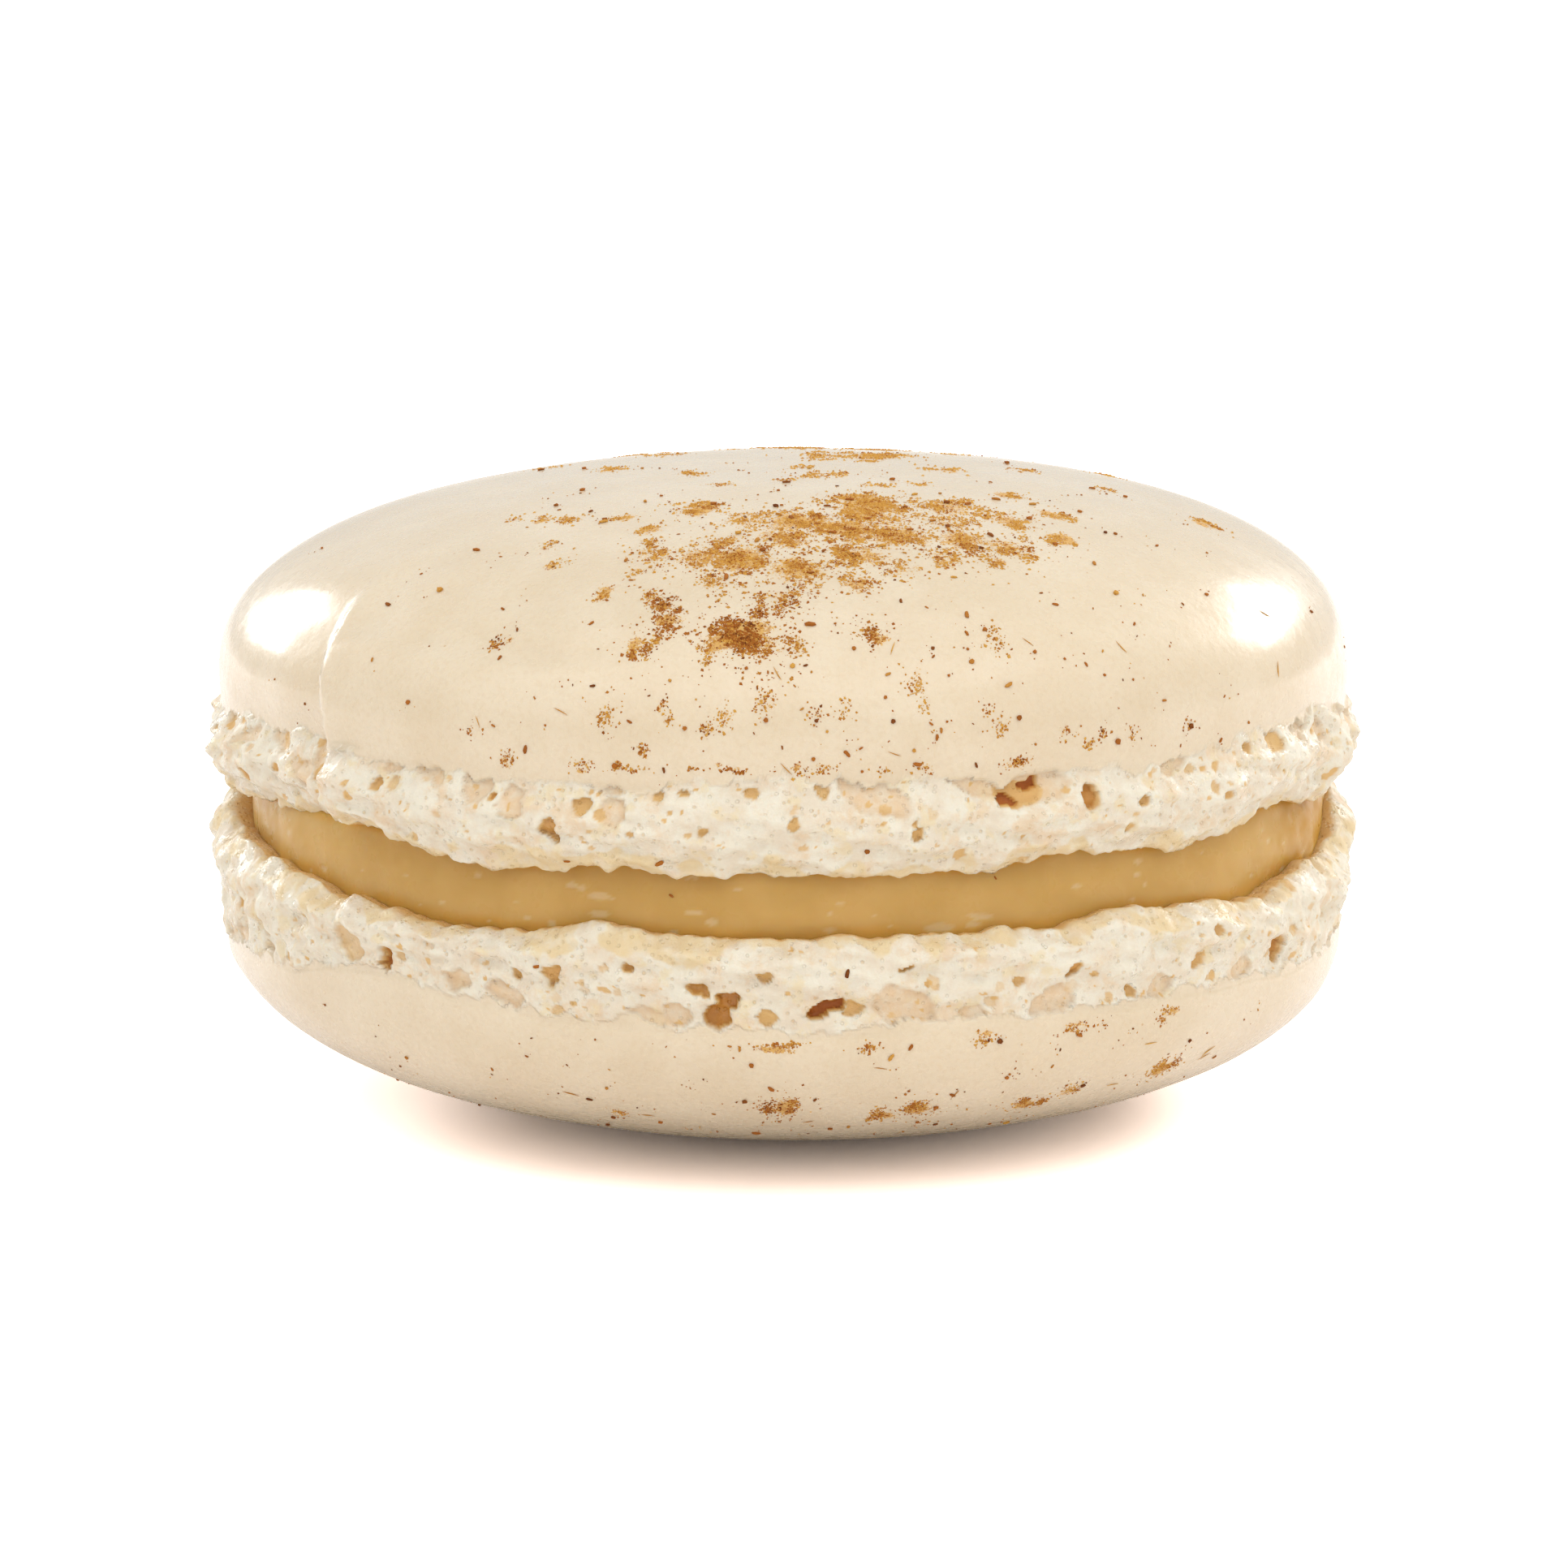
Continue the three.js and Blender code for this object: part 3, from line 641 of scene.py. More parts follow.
def back_hollows(shell, draw):
    """Wide shallow hollows below the skin, where the photo doesn't show the foot; the foam in them gets
    painted rose shade.
    """
    hollows = []
    groove = shell["groove_height"]
    for turn, up in zip(*spread_pairs(46, groove - 0.75, groove - 0.1, 7)):
        width, tall, depth = draw.uniform(0.8, 2.2), draw.uniform(0.5, 1.0), draw.uniform(0.15, 0.3)
        if abs(turn) > 62:
            hollows.append((turn, up, width, tall, depth))
    return hollows


def sink_holes(angle, height, place, holes, hollows, draw):
    """How far each vertex sinks for the holes, and how strongly the painted shade of holes and hollows
    shows there.
    """
    order = np.argsort(angle)
    sorted_angle = angle[order]
    warp = layered_noise(place, 201, (0.13, 0.42), (0.05, 0.17))
    cross_warp = layered_noise(place, 203, (0.13, 0.42), (0.05, 0.17))
    sink = np.zeros(len(angle))
    hole_shade = np.zeros(len(angle))
    hollow_shade = np.zeros(len(angle))
    everything = [(*hole, True) for hole in holes]
    everything += [(*hollow, 0.0, False) for hollow in hollows]
    for turn, up, width, tall, depth, colour, is_hole in everything:
        middle = math.radians(turn)
        reach = (0.75 * width + 0.2) / RIM
        first, last = np.searchsorted(sorted_angle, [middle - reach, middle + reach])
        near = order[first:last]
        near = near[np.abs(height[near] - up) < 0.75 * tall + 0.2]
        lean = draw.uniform(-0.5, 0.5)
        if len(near) == 0:
            continue
        much = min(1.0, width * 1.3)
        across = (angle[near] - middle) * RIM + warp[near] * much
        rise = height[near] - up + cross_warp[near] * much
        along = (across * math.cos(lean) + rise * math.sin(lean)) / (width / 2)
        over = (rise * math.cos(lean) - across * math.sin(lean)) / (tall / 2)
        off = np.hypot(along, over)
        if is_hole:
            inside = smooth((1.1 - off) / 0.24)
            bowl = depth * inside * (1.0 - 0.25 * np.minimum(off, 1.0))
            sink[near] = np.maximum(sink[near], HOLE_SINK * bowl)
            # Painted shade inside the hole, as strong as its listed value
            hole_shade[near] = np.maximum(hole_shade[near], colour * inside)
        else:
            inside = smooth((1.08 - off) / 0.2)
            sink[near] = np.maximum(sink[near], HOLLOW_SINK * depth * inside)
            # Painted rose shade in the hollow
            hollow_shade[near] = np.maximum(hollow_shade[near], inside)
    return sink, hole_shade, hollow_shade


def shell_piece(name, shell, named, hollows, patches, side_patches, seed, node):
    """One baked shell as one closed body: inner face, lip, airy foot and smooth skin."""
    fine, coarse = fine_rings(shell), dome_rings(shell)

    def level_of(ring):
        return ring[1], shell["face"] + shell["up"] * ring[2]

    dome = turned_profile("dome", [level_of(ring) for ring in coarse], DOME_COLUMNS)
    piece = turned_profile(name, [level_of(ring) for ring in fine], FOOT_COLUMNS)
    bridge_pieces(piece, dome, level_of(fine[-1]), level_of(coarse[0]))
    rings = fine + coarse
    angle, row = rings_of(piece, [level_of(ring) for ring in rings])
    kind = np.array([ring[0] for ring in rings])[row]
    radius = np.array([ring[1] for ring in rings])[row]
    flat_height = np.array([ring[2] for ring in rings])[row]
    share = np.array([ring[3] for ring in rings])[row]
    draw = np.random.default_rng(seed)
    on_foot, on_lip, on_skin = kind == "foot", kind == "lip", kind == "skin"
    outer = on_foot | on_lip | on_skin

    # The unevenness that the solid has too
    height = flat_height.copy()
    aside = smooth((np.abs(degrees_apart(angle, 0.0)) - 40.0) / 30.0)
    rim = round_rim(angle, 0.0 * angle)
    reach = reach_of_lip(shell, angle) + mix(0.12, 0.3, aside) * noise_at(rim, 1.5, seed + 20)
    reach -= 0.13 * noise_at(rim, 0.6, seed + 21)
    rise = rise_of_edge(shell, angle)
    height[on_lip] += (share * reach)[on_lip]
    height[on_foot] += ((1.0 - share) ** 2 * reach + share * rise)[on_foot]
    skin_height = shell["skin_height"]
    above = smooth((flat_height - skin_height) / (shell["dome_base"] + 2.0 - skin_height))
    slant = math.tan(math.radians(shell["tilt"])) * radius * np.sin(angle)
    height[on_skin] += ((1.0 - above) * rise + above * slant)[on_skin]
    grown = np.clip(-reach, 0.0, 2.0)
    inner = (kind == "face") & (share > 0)
    radius[inner] -= 1.2 * grown[inner]
    radius[on_lip] -= ((1.0 - share) * 1.2 * grown)[on_lip]
    middle = np.sin(np.pi * mix(0.25, 1.0, share))
    radius[on_foot] += (middle * lump(shell["lumps"], angle, flat_height))[on_foot]
    radius[outer] += (radius / shell["groove_radius"] * waves(shell["outline"], angle))[outer]
    radius[outer] -= crease_depth(shell, angle, flat_height)[outer]
    fold = fold_depth(shell, angle, flat_height, round_place(radius, angle, height))
    radius[on_skin] -= fold[on_skin]

    # Where the skin ends: tongues of it reach down over the foam, and foam breaks through it
    place = round_place(radius, angle, height)
    rim = round_rim(angle, 0.4 * height)
    tatter = layered_noise(rim, seed, (0.24, 1.3), (0.16, 0.5), (0.07, 0.18))
    crust = smooth((flat_height - shell["groove_height"] + 0.12 - tatter) / 0.08) * (on_foot | on_skin)

    # The holes in the foam
    holes = list(named) + scattered_holes(shell, named, draw)
    wide = list(hollows) + back_hollows(shell, draw)
    sink, hole_shade, hollow_shade = sink_holes(angle, height, place, holes, wide, draw)
    foam = (1.0 - crust) * np.where(on_foot, 1.0, np.where(on_lip, 0.7, 0.0))
    sink, hole_shade, hollow_shade = sink * foam, hole_shade * foam, hollow_shade * foam

    # Puffs, folds and grit of the foam, and the faint unevenness of the skin
    near, second = cells_at(place, 1.25, seed)
    puff = np.clip(1.0 - near ** 2 * 1.5, 0.0, 1.0) + 0.5 * np.clip(second - near, 0.0, 0.4)
    big = noise_at(place, 2.2, seed + 3)
    medium = noise_at(place, 0.5, seed + 4)
    small = noise_at(place, 0.2, seed + 5)
    calm = foam * (1.0 - 0.7 * np.clip(hole_shade + hollow_shade, 0.0, 1.0))
    radius += calm * (mix(0.10, 0.20, aside) * (puff - 0.6) + mix(0.045, 0.07, aside) * medium
                      + 0.015 * small)
    radius += foam * mix(0.04, 0.28, aside) * big
    radius -= sink
    soft = layered_noise(place, seed + 6, (0.045, 5.0), (0.012, 1.3))
    radius += np.where(on_skin, soft * smooth(radius / 8.0), 0.0)
    height += np.where(on_skin, soft * (1.0 - smooth(radius / RIM)), 0.0)
    proud = crust * (1.0 - smooth((flat_height - shell["groove_height"]) / 0.8))
    radius += 0.01 * proud
    ragged = layered_noise(rim, seed + 8, (0.6, 0.55), (0.4, 0.22))
    height += np.where(on_foot | on_lip, (1.0 - share) ** 5 * 0.12 * ragged, 0.0)
    height = np.minimum(height, shell["top"])
    put_vertices(piece, radius, angle, shell["face"] + shell["up"] * height)

    stain = noise_at(place, 0.9, seed + 10)
    near_cream = np.where(on_foot, 0.75 * smooth((0.13 + 0.24 * stain - share) / 0.1),
                          1.0 * (kind != "skin"))
    density = powder_density(place, angle, flat_height, patches, side_patches, seed)
    # Painted shade inside the holes
    put_attribute(piece, "hole_shade", hole_shade)
    # Painted rose shade in the wide hollows
    put_attribute(piece, "hollow_shade", hollow_shade)
    put_attribute(piece, "soaked", near_cream)
    put_attribute(piece, "crust", crust)
    put_attribute(piece, "powder", density * crust)
    return finish_piece(piece, meringue_material(), "meringue", node)


def powder_density(points, angle, height, patches, side_patches, seed):
    """How thickly the cinnamon lies at points of the skin: 0 is bare, and 1 hides the skin."""
    density = np.zeros(len(points))
    warp_x = 0.35 * noise_at(points, 0.9, seed) + 0.12 * noise_at(points, 0.3, seed + 7)
    warp_y = 0.35 * noise_at(points, 0.9, seed + 5) + 0.12 * noise_at(points, 0.3, seed + 9)
    x = points[:, 0] + warp_x
    y = points[:, 1] + warp_y
    squeeze = mix(1.0, 0.6, np.clip(np.abs(points[:, 1] / RIM), 0.3, 1.0) ** 4)
    for middle_x, middle_y, width, thick, _ in patches:
        off = np.hypot((x - middle_x) / (width / 2), (y - middle_y) / (width / 2 * squeeze))
        density = np.maximum(density, thick * smooth(1.2 - off))
    for turn, up, width, tall, thick, _ in side_patches:
        across = along_rim(degrees_apart(angle, turn)) + warp_x * 0.6
        off = np.hypot(across / (width / 2), (height - up + warp_y * 0.4) / (tall / 2))
        density = np.maximum(density, 0.85 * thick * smooth(1.2 - off))
    return density


def cream():
    """The caramel cream: smooth, pressed out to just behind the lips, with a few bubbles, with painted
    shade where the lips overhang it and on the lumps at its right end.
    """
    low = LOWER_FACE - 0.04
    high = UPPER_FACE + 0.04
    rows = 40
    rings = [(0.0, low), (CREAM_RADIUS - 1.2, low)]
    for number in range(rows + 1):
        share = number / rows
        swell = math.sin(math.pi * share) ** 0.6
        rings.append((CREAM_RADIUS - 0.1 + (CREAM_BULGE + 0.1) * swell, mix(low, high, share)))
    rings += [(CREAM_RADIUS - 1.2, high), (0.0, high)]
    piece = turned_profile("filling_cream", rings, CREAM_COLUMNS)
    angle, row = rings_of(piece, rings)
    radius = np.array([ring[0] for ring in rings])[row]
    level = np.array([ring[1] for ring in rings])[row]
    side = radius > CREAM_RADIUS - 1.0
    place = round_place(radius, angle, level)
    radius = radius + np.where(side, waves(CREAM_OUTLINE, angle), 0.0)
    rolls = 0.07 * noise_at(place * (0.5, 0.5, 1.6), 2.4, 3) + 0.015 * noise_at(place, 0.8, 5)
    # Lumps at the right end of the cream; the same mask carries painted shade there
    right = np.exp(-((degrees_apart(angle, 74.0)) / 11.0) ** 4)
    rolls += right * 0.07 * noise_at(place * (1.0, 1.0, 1.3), 1.2, 8)
    aside = smooth((np.abs(degrees_apart(angle, 0.0)) - 58.0) / 26.0)
    climb = np.clip((level - low) / (high - low), 0.0, 1.0)
    rolls += 0.42 * aside + 0.2 * (1.0 - aside) * (1.0 - climb) ** 1.5 + 0.08
    radius += np.where(side, rolls, 0.0)
    bubbles = [(-19.0, 12.05, 0.9, 0.3), (-19.0, 11.4, 0.8, 0.28), (-9.3, 11.6, 0.7, 0.22),
               (19.5, 11.2, 0.8, 0.25), (15.0, 10.9, 1.2, 0.35), (18.5, 10.95, 0.6, 0.25),
               (-33.0, 12.4, 0.35, 0.2), (-27.0, 11.0, 0.3, 0.2), (4.0, 11.0, 0.35, 0.25),
               (-5.0, 12.5, 0.3, 0.16), (30.0, 12.0, 0.4, 0.2), (38.0, 12.6, 0.35, 0.25)]
    draw = np.random.default_rng(77)
    for _ in range(120):
        width = mix(0.12, 0.5, draw.random() ** 2)
        bubbles.append((draw.uniform(-180, 180), draw.uniform(10.7, 13.1), width, width * 0.6))
    pale = np.zeros(len(angle))
    for turn, up, width, tall in bubbles:
        off = np.hypot(along_rim(degrees_apart(angle, turn), CREAM_RADIUS) / (width / 2),
                       (level - up) / (tall / 2))
        inside = smooth((1.15 - off) / 0.4) * side
        pale = np.maximum(pale, inside)
        radius -= 0.03 * inside
    put_vertices(piece, radius, angle, level)
    put_attribute(piece, "pale", pale)
    # Painted shade in a band where the cream meets each shell's lip
    lower_lip = LOWER_FACE + 0.8 * np.maximum(0.0, -LOWER["lip_height"] - reach_of_lip(LOWER, angle))
    upper_lip = UPPER_FACE - 0.8 * np.maximum(0.0, -UPPER["lip_height"] - reach_of_lip(UPPER, angle))
    shade_by_shells = 1.0 - np.clip(np.minimum((level - lower_lip) / 0.8, (upper_lip - level) / 0.5), 0.0, 1.0)
    put_attribute(piece, "shade_by_shells", shade_by_shells)
    # Painted shade on the lumps at the cream's right end
    put_attribute(piece, "right_end_shade", right)
    return finish_piece(piece, cream_material(), "cream", "filling")


def new_material(name):
    material = bpy.data.materials.new(name)
    material.use_nodes = True
    tree = material.node_tree
    tree.nodes.clear()
    output = tree.nodes.new("ShaderNodeOutputMaterial")
    shader = tree.nodes.new("ShaderNodeBsdfPrincipled")
    tree.links.new(shader.outputs["BSDF"], output.inputs["Surface"])
    return material, tree, shader


def fill(tree, node, **inputs):
    """Set inputs of a node, by name or as i and a number, to a value or another node's output."""
    for key, value in inputs.items():
        numbered = key[0] == "i" and key[1:].isdigit()
        socket = node.inputs[int(key[1:]) if numbered else key.replace("_", " ")]
        if isinstance(value, bpy.types.NodeSocket):
            tree.links.new(value, socket)
        else:
            socket.default_value = value


def add(tree, kind, settings=None, **inputs):
    """A new node with its settings and inputs."""
    made = tree.nodes.new(kind)
    for key, value in (settings or {}).items():
        setattr(made, key, value)
    fill(tree, made, **inputs)
    return made


def attribute(tree, name):
    return add(tree, "ShaderNodeAttribute", {"attribute_name": name}).outputs["Fac"]


def new_socket(group, name, side, value=None):
    socket = group.interface.new_socket(name=name, in_out=side, socket_type="NodeSocketFloat")
    if value is not None:
        socket.default_value = value


RANGE = ("Low", "High", "Least", "Most")


def mottle_group():
    """Soft blotches, shared by every material: a mask from noise that is even in millimetres."""
    if "baked_mottle" in bpy.data.node_groups:
        return bpy.data.node_groups["baked_mottle"]
    group = bpy.data.node_groups.new("baked_mottle", "ShaderNodeTree")
    for name, value in (("Per Millimetre", 1.0), ("Detail", 2.0), ("Raggedness", 0.5), ("Shift", 0.0),
                        ("Low", 0.3), ("High", 0.7), ("Least", 0.0), ("Most", 1.0)):
        new_socket(group, name, "INPUT", value)
    new_socket(group, "Mask", "OUTPUT")
    given = group.nodes.new("NodeGroupInput")
    result = group.nodes.new("NodeGroupOutput")
    shifted = add(group, "ShaderNodeVectorMath", {"operation": "ADD"}, i0=place_of(group),
                  i1=given.outputs["Shift"])
    noise = add(group, "ShaderNodeTexNoise", None, Vector=shifted.outputs[0],
                Scale=given.outputs["Per Millimetre"], Detail=given.outputs["Detail"],
                Roughness=given.outputs["Raggedness"])
    mask = remap(group, noise.outputs["Fac"], *[given.outputs[name] for name in RANGE])
    group.links.new(mask, result.inputs["Mask"])
    return group


def mottle(tree, scale, low=0.0, high=1.0, least=0.0, most=1.0, detail=2.0, raggedness=0.5,
           shift=0.0):
    made = add(tree, "ShaderNodeGroup", {"node_tree": mottle_group()}, Detail=detail,
               Raggedness=raggedness, Shift=shift, Low=low, High=high, Least=least, Most=most)
    made.inputs["Per Millimetre"].default_value = scale
    return made.outputs["Mask"]


def place_of(tree):
    """Object coordinates turned into millimetres."""
    coordinates = tree.nodes.new("ShaderNodeTexCoord").outputs["Object"]
    return add(tree, "ShaderNodeVectorMath", {"operation": "SCALE"}, i0=coordinates,
               Scale=1.0 / MM).outputs[0]


def remap(tree, value, low, high, start=0.0, end=1.0):
    return add(tree, "ShaderNodeMapRange", {"interpolation_type": "SMOOTHSTEP"}, Value=value,
               i1=low, i2=high, i3=start, i4=end).outputs[0]


def cells(tree, vector, scale):
    """Scattered cells: the distance from the nearest middle, and a colour drawn for each cell."""
    made = add(tree, "ShaderNodeTexVoronoi", {"feature": "F1"}, Vector=vector, Scale=scale)
    drawn = add(tree, "ShaderNodeSeparateColor", None, Color=made.outputs["Color"])
    return made.outputs["Distance"], drawn.outputs


def maths(tree, operation, first, second):
    return add(tree, "ShaderNodeMath", {"operation": operation}, i0=first, i1=second).outputs[0]


def blend(tree, share, first, second):
    """From the first colour to the second; each is another node's output or three numbers."""
    first, second = [(*value, 1.0) if isinstance(value, tuple) else value for value in (first, second)]
    return add(tree, "ShaderNodeMix", {"data_type": "RGBA"}, i0=share, i6=first, i7=second).outputs[2]


def bump(tree, height, strength, distance):
    return add(tree, "ShaderNodeBump", None, Height=height, Strength=strength,
               Distance=distance).outputs["Normal"]


MATERIALS = {}


def meringue_material():
    """Baked meringue: a satin crust where crust is 1, and dry, airy foam where it is 0."""
    if "meringue" in MATERIALS:
        return MATERIALS["meringue"]
    material, tree, shader = new_material("macaron_meringue")
    place = place_of(tree)
    crust = attribute(tree, "crust")

    # Crust: ivory with faint warm mottling and a few toasted specks
    skin = blend(tree, mottle(tree, 0.28, 0.35, 0.7, detail=3.0), SKIN_WARM, SKIN_PALE)
    skin = blend(tree, mottle(tree, 5.0, 0.45, 0.7, 0.0, 0.22, detail=3.0), skin, SKIN_TOASTED)
    distance, drawn = cells(tree, place, 1.5)
    speck = maths(tree, "MULTIPLY", maths(tree, "GREATER_THAN", drawn[0], 0.8),
                  remap(tree, distance, 0.1, 0.05, 0.0, 0.6))
    skin = blend(tree, speck, skin, SPECK_BROWN)

    # A film of the finest cinnamon, which gathers in small clumps
    density = attribute(tree, "powder")
    _, drawn = cells(tree, place, 16.0)
    clump = mottle(tree, 3.2, 0.25, 0.75, detail=6.0, raggedness=0.7)
    scatter = add(tree, "ShaderNodeMath", {"operation": "MULTIPLY_ADD"}, i0=clump, i1=0.55,
                  i2=maths(tree, "MULTIPLY", drawn[0], 0.45)).outputs[0]
    dusted = remap(tree, maths(tree, "SUBTRACT", maths(tree, "MULTIPLY", density, 1.3), scatter),
                   -0.02, 0.08, 0.0, 0.85)
    gold = blend(tree, remap(tree, drawn[1], 0.55, 0.95), CINNAMON_GOLD, CINNAMON_BROWN)
    skin = blend(tree, remap(tree, density, 0.1, 1.0, 0.0, 0.4), skin, CINNAMON_GOLD)
    skin = blend(tree, dusted, skin, gold)

    # Foam: nearly white, blotched with rosy and yellowish patches, with painted shade in tan and brown
    # in its pores and holes and in rose in its hollows
    foam = blend(tree, mottle(tree, 1.0, 0.36, 0.6, detail=4.0, raggedness=0.6), FOOT_CREAM,
                 FOOT_WHITE)
    rosy = mottle(tree, 0.75, 0.50, 0.66, 0.0, 0.6, detail=5.0, raggedness=0.65)
    foam = blend(tree, rosy, foam, FOOT_ROSE_AND_HOLLOW_SHADE)
    yellow = mottle(tree, 0.9, 0.55, 0.66, 0.0, 0.6, detail=4.0, raggedness=0.6, shift=40.0)
    foam = blend(tree, yellow, foam, FOOT_YELLOW)
    # Painted shade: tan in the small pores, which the bump below also sinks
    pore_distance, drawn = cells(tree, place, 3.2)
    pore = maths(tree, "MULTIPLY", maths(tree, "GREATER_THAN", drawn[1], 0.62),
                 remap(tree, pore_distance, 0.24, 0.12, 0.0, 0.4))
    foam = blend(tree, pore, foam, HOLE_SHADE_TAN)
    soaked = attribute(tree, "soaked")
    stain = maths(tree, "MULTIPLY", remap(tree, soaked, 0.0, 0.7),
                  mottle(tree, 1.6, 0.3, 0.6, 0.3, 0.8, detail=3.0))
    foam = blend(tree, stain, foam, FOOT_SOAKED)
    foam = blend(tree, remap(tree, soaked, 0.78, 1.0, 0.0, 0.75), foam, FOOT_AMBER)
    # Painted shade: the hollows turn rose and darker
    hollow_shade = maths(tree, "MULTIPLY", attribute(tree, "hollow_shade"),
                  mottle(tree, 2.2, 0.3, 0.7, 0.45, 0.95, detail=4.0))
    foam = blend(tree, hollow_shade, foam, FOOT_ROSE_AND_HOLLOW_SHADE)
    # Painted shade in the holes, from tan through orange brown to deepest brown
    hole_shade = attribute(tree, "hole_shade")
    foam = blend(tree, remap(tree, hole_shade, 0.03, 0.5), foam, HOLE_SHADE_TAN)
    foam = blend(tree, remap(tree, hole_shade, 0.5, 0.85), foam, HOLE_SHADE_BROWN)
    foam = blend(tree, remap(tree, hole_shade, 0.85, 1.0), foam, HOLE_SHADE_DEEP)

    # Crust is satin, foam is dry but for some moist patches, and cinnamon is dull
    satin = add(tree, "ShaderNodeMath", {"operation": "MULTIPLY_ADD"}, i0=dusted, i1=0.5,
                i2=mottle(tree, 1.4, 0.3, 0.7, 0.22, 0.33, detail=4.0)).outputs[0]
    dry = mottle(tree, 0.6, 0.38, 0.6, 0.16, 0.72, detail=5.0, raggedness=0.6)
    rough = add(tree, "ShaderNodeMix", {"data_type": "FLOAT"}, i0=crust, i2=dry, i3=satin).outputs[0]
    glossy = maths(tree, "MULTIPLY", crust,
                   maths(tree, "SUBTRACT", 0.4, maths(tree, "MULTIPLY", dusted, 0.45)))

    # Relief too fine for the mesh
    ripple = mottle(tree, 2.2, 0.0, 1.0, 0.0, 0.15, detail=6.0, raggedness=0.6)
    crumb = mottle(tree, 3.0, 0.0, 1.0, 0.0, 0.6, detail=5.0, raggedness=0.6)
    pits = remap(tree, pore_distance, 0.1, 0.3, 0.0, 0.5)
    relief = add(tree, "ShaderNodeMix", {"data_type": "FLOAT"}, i0=crust,
                 i2=maths(tree, "ADD", crumb, pits), i3=ripple).outputs[0]
    fill(tree, shader, Base_Color=blend(tree, crust, foam, skin), Roughness=rough, IOR=1.45,
         Subsurface_Weight=0.15, Subsurface_Radius=(1.0, 0.7, 0.4), Subsurface_Scale=0.6 * MM,
         Coat_Weight=glossy, Coat_Roughness=0.14, Normal=bump(tree, relief, 0.7, 0.12 * MM))
    MATERIALS["meringue"] = material
    return material


def cream_material():
    material, tree, shader = new_material("caramel_cream")
    base = blend(tree, mottle(tree, 0.5, 0.35, 0.65), CREAM_LIGHT, CREAM_WARM)
    # Painted shade where the shells overhang the cream
    base = blend(tree, remap(tree, attribute(tree, "shade_by_shells"), 0.25, 1.0, 0.0, 0.9), base, CREAM_SHADE_BY_SHELLS)
    # Painted shade on the lumps at the cream's right end
    base = blend(tree, maths(tree, "MULTIPLY", attribute(tree, "right_end_shade"),
                             mottle(tree, 1.0, 0.35, 0.6, 0.7, 1.0, detail=3.0)), base, CREAM_RIGHT_END_SHADE)
    base = blend(tree, maths(tree, "MULTIPLY", attribute(tree, "pale"), 0.7), base, BUBBLE_PALE)
    fill(tree, shader, Base_Color=base, Roughness=mottle(tree, 1.0, 0.3, 0.7, 0.24, 0.4, detail=3.0),
         Specular_IOR_Level=0.12, Subsurface_Weight=0.6, Subsurface_Radius=(1.0, 0.5, 0.18),
         Subsurface_Scale=1.0 * MM, Normal=bump(tree, mottle(tree, 1.6, detail=3.0), 0.3, 0.04 * MM))
    return material


def cinnamon_material():
    material, tree, shader = new_material("ground_cinnamon")
    shade = attribute(tree, "shade")
    base = blend(tree, remap(tree, shade, 0.0, 0.6), CINNAMON_GOLD, CINNAMON_BROWN)
    base = blend(tree, remap(tree, shade, 0.6, 1.0), base, CINNAMON_DARK)
    base = blend(tree, mottle(tree, 14.0, 0.4, 0.7, 0.0, 0.3), base, CINNAMON_BROWN)
    fill(tree, shader, Base_Color=base, Roughness=mottle(tree, 14.0, 0.3, 0.7, 0.75, 0.95),
         Specular_IOR_Level=0.2)
    return material


def crumb_shape(name, faces, stretch, seed):
    """One broken bit of bark: squashed and chipped, kept as corners and three-sided faces."""
    bpy.ops.object.select_all(action="DESELECT")
    if faces == 8:
        bpy.ops.mesh.primitive_cone_add(vertices=4, radius1=1.0, radius2=0.0, depth=1.4,
                                        end_fill_type="TRIFAN", location=(0.0, 0.0, 0.0))
    else:
        bpy.ops.mesh.primitive_ico_sphere_add(subdivisions=1, radius=1.0, location=(0.0, 0.0, 0.0))
    shape = bpy.context.object
    shape.name = name
    bpy.ops.object.mode_set(mode="EDIT")
    bpy.ops.mesh.select_all(action="SELECT")
    bpy.ops.transform.resize(value=stretch)
    bpy.ops.transform.vertex_random(offset=0.28, seed=seed)
    bpy.ops.mesh.quads_convert_to_tris()
    bpy.ops.object.mode_set(mode="OBJECT")
    corners = np.array([corner.co[:] for corner in shape.data.vertices])
    sides = np.array([side.vertices[:] for side in shape.data.polygons])
    bpy.data.objects.remove(shape)
    return corners, sides


def scattered_piece(name, shapes, crumbs, draw):
    """Many crumbs as one mesh: each is a copy of a shape, turned and laid on the skin."""
    corners, faces, tones = [], [], []
    total = 0
    for place, up, size, shade in crumbs:
        shape_corners, shape_faces = shapes[int(draw.integers(len(shapes)))]
        turn = draw.uniform(0.0, 2.0 * math.pi)
        side = up.orthogonal().normalized()
        first = math.cos(turn) * side + math.sin(turn) * up.cross(side)
        axes = np.array([first[:], up.cross(first)[:], up[:]])
        laid = shape_corners * size @ axes + place
        corners.append(laid)
        faces.append(shape_faces + total)
        tones.append(np.full(len(laid), shade))
        total += len(laid)
    mesh = bpy.data.meshes.new(name)
    mesh.from_pydata(np.concatenate(corners).tolist(), [], np.concatenate(faces).tolist())
    mesh.update()
    piece = bpy.data.objects.new(name, mesh)
    bpy.context.scene.collection.objects.link(piece)
    put_attribute(piece, "shade", np.concatenate(tones))
    return piece


def skin_tree(piece):
    mesh = piece.data
    return BVHTree.FromPolygons([corner.co[:] for corner in mesh.vertices],
                                [face.vertices[:] for face in mesh.polygons])


def land_from_above(tree, x, y):
    start = Vector(((x + SHIFT[0]) * MM, (y + SHIFT[1]) * MM, 60 * MM))
    return tree.ray_cast(start, Vector((0.0, 0.0, -1.0)))[:2]


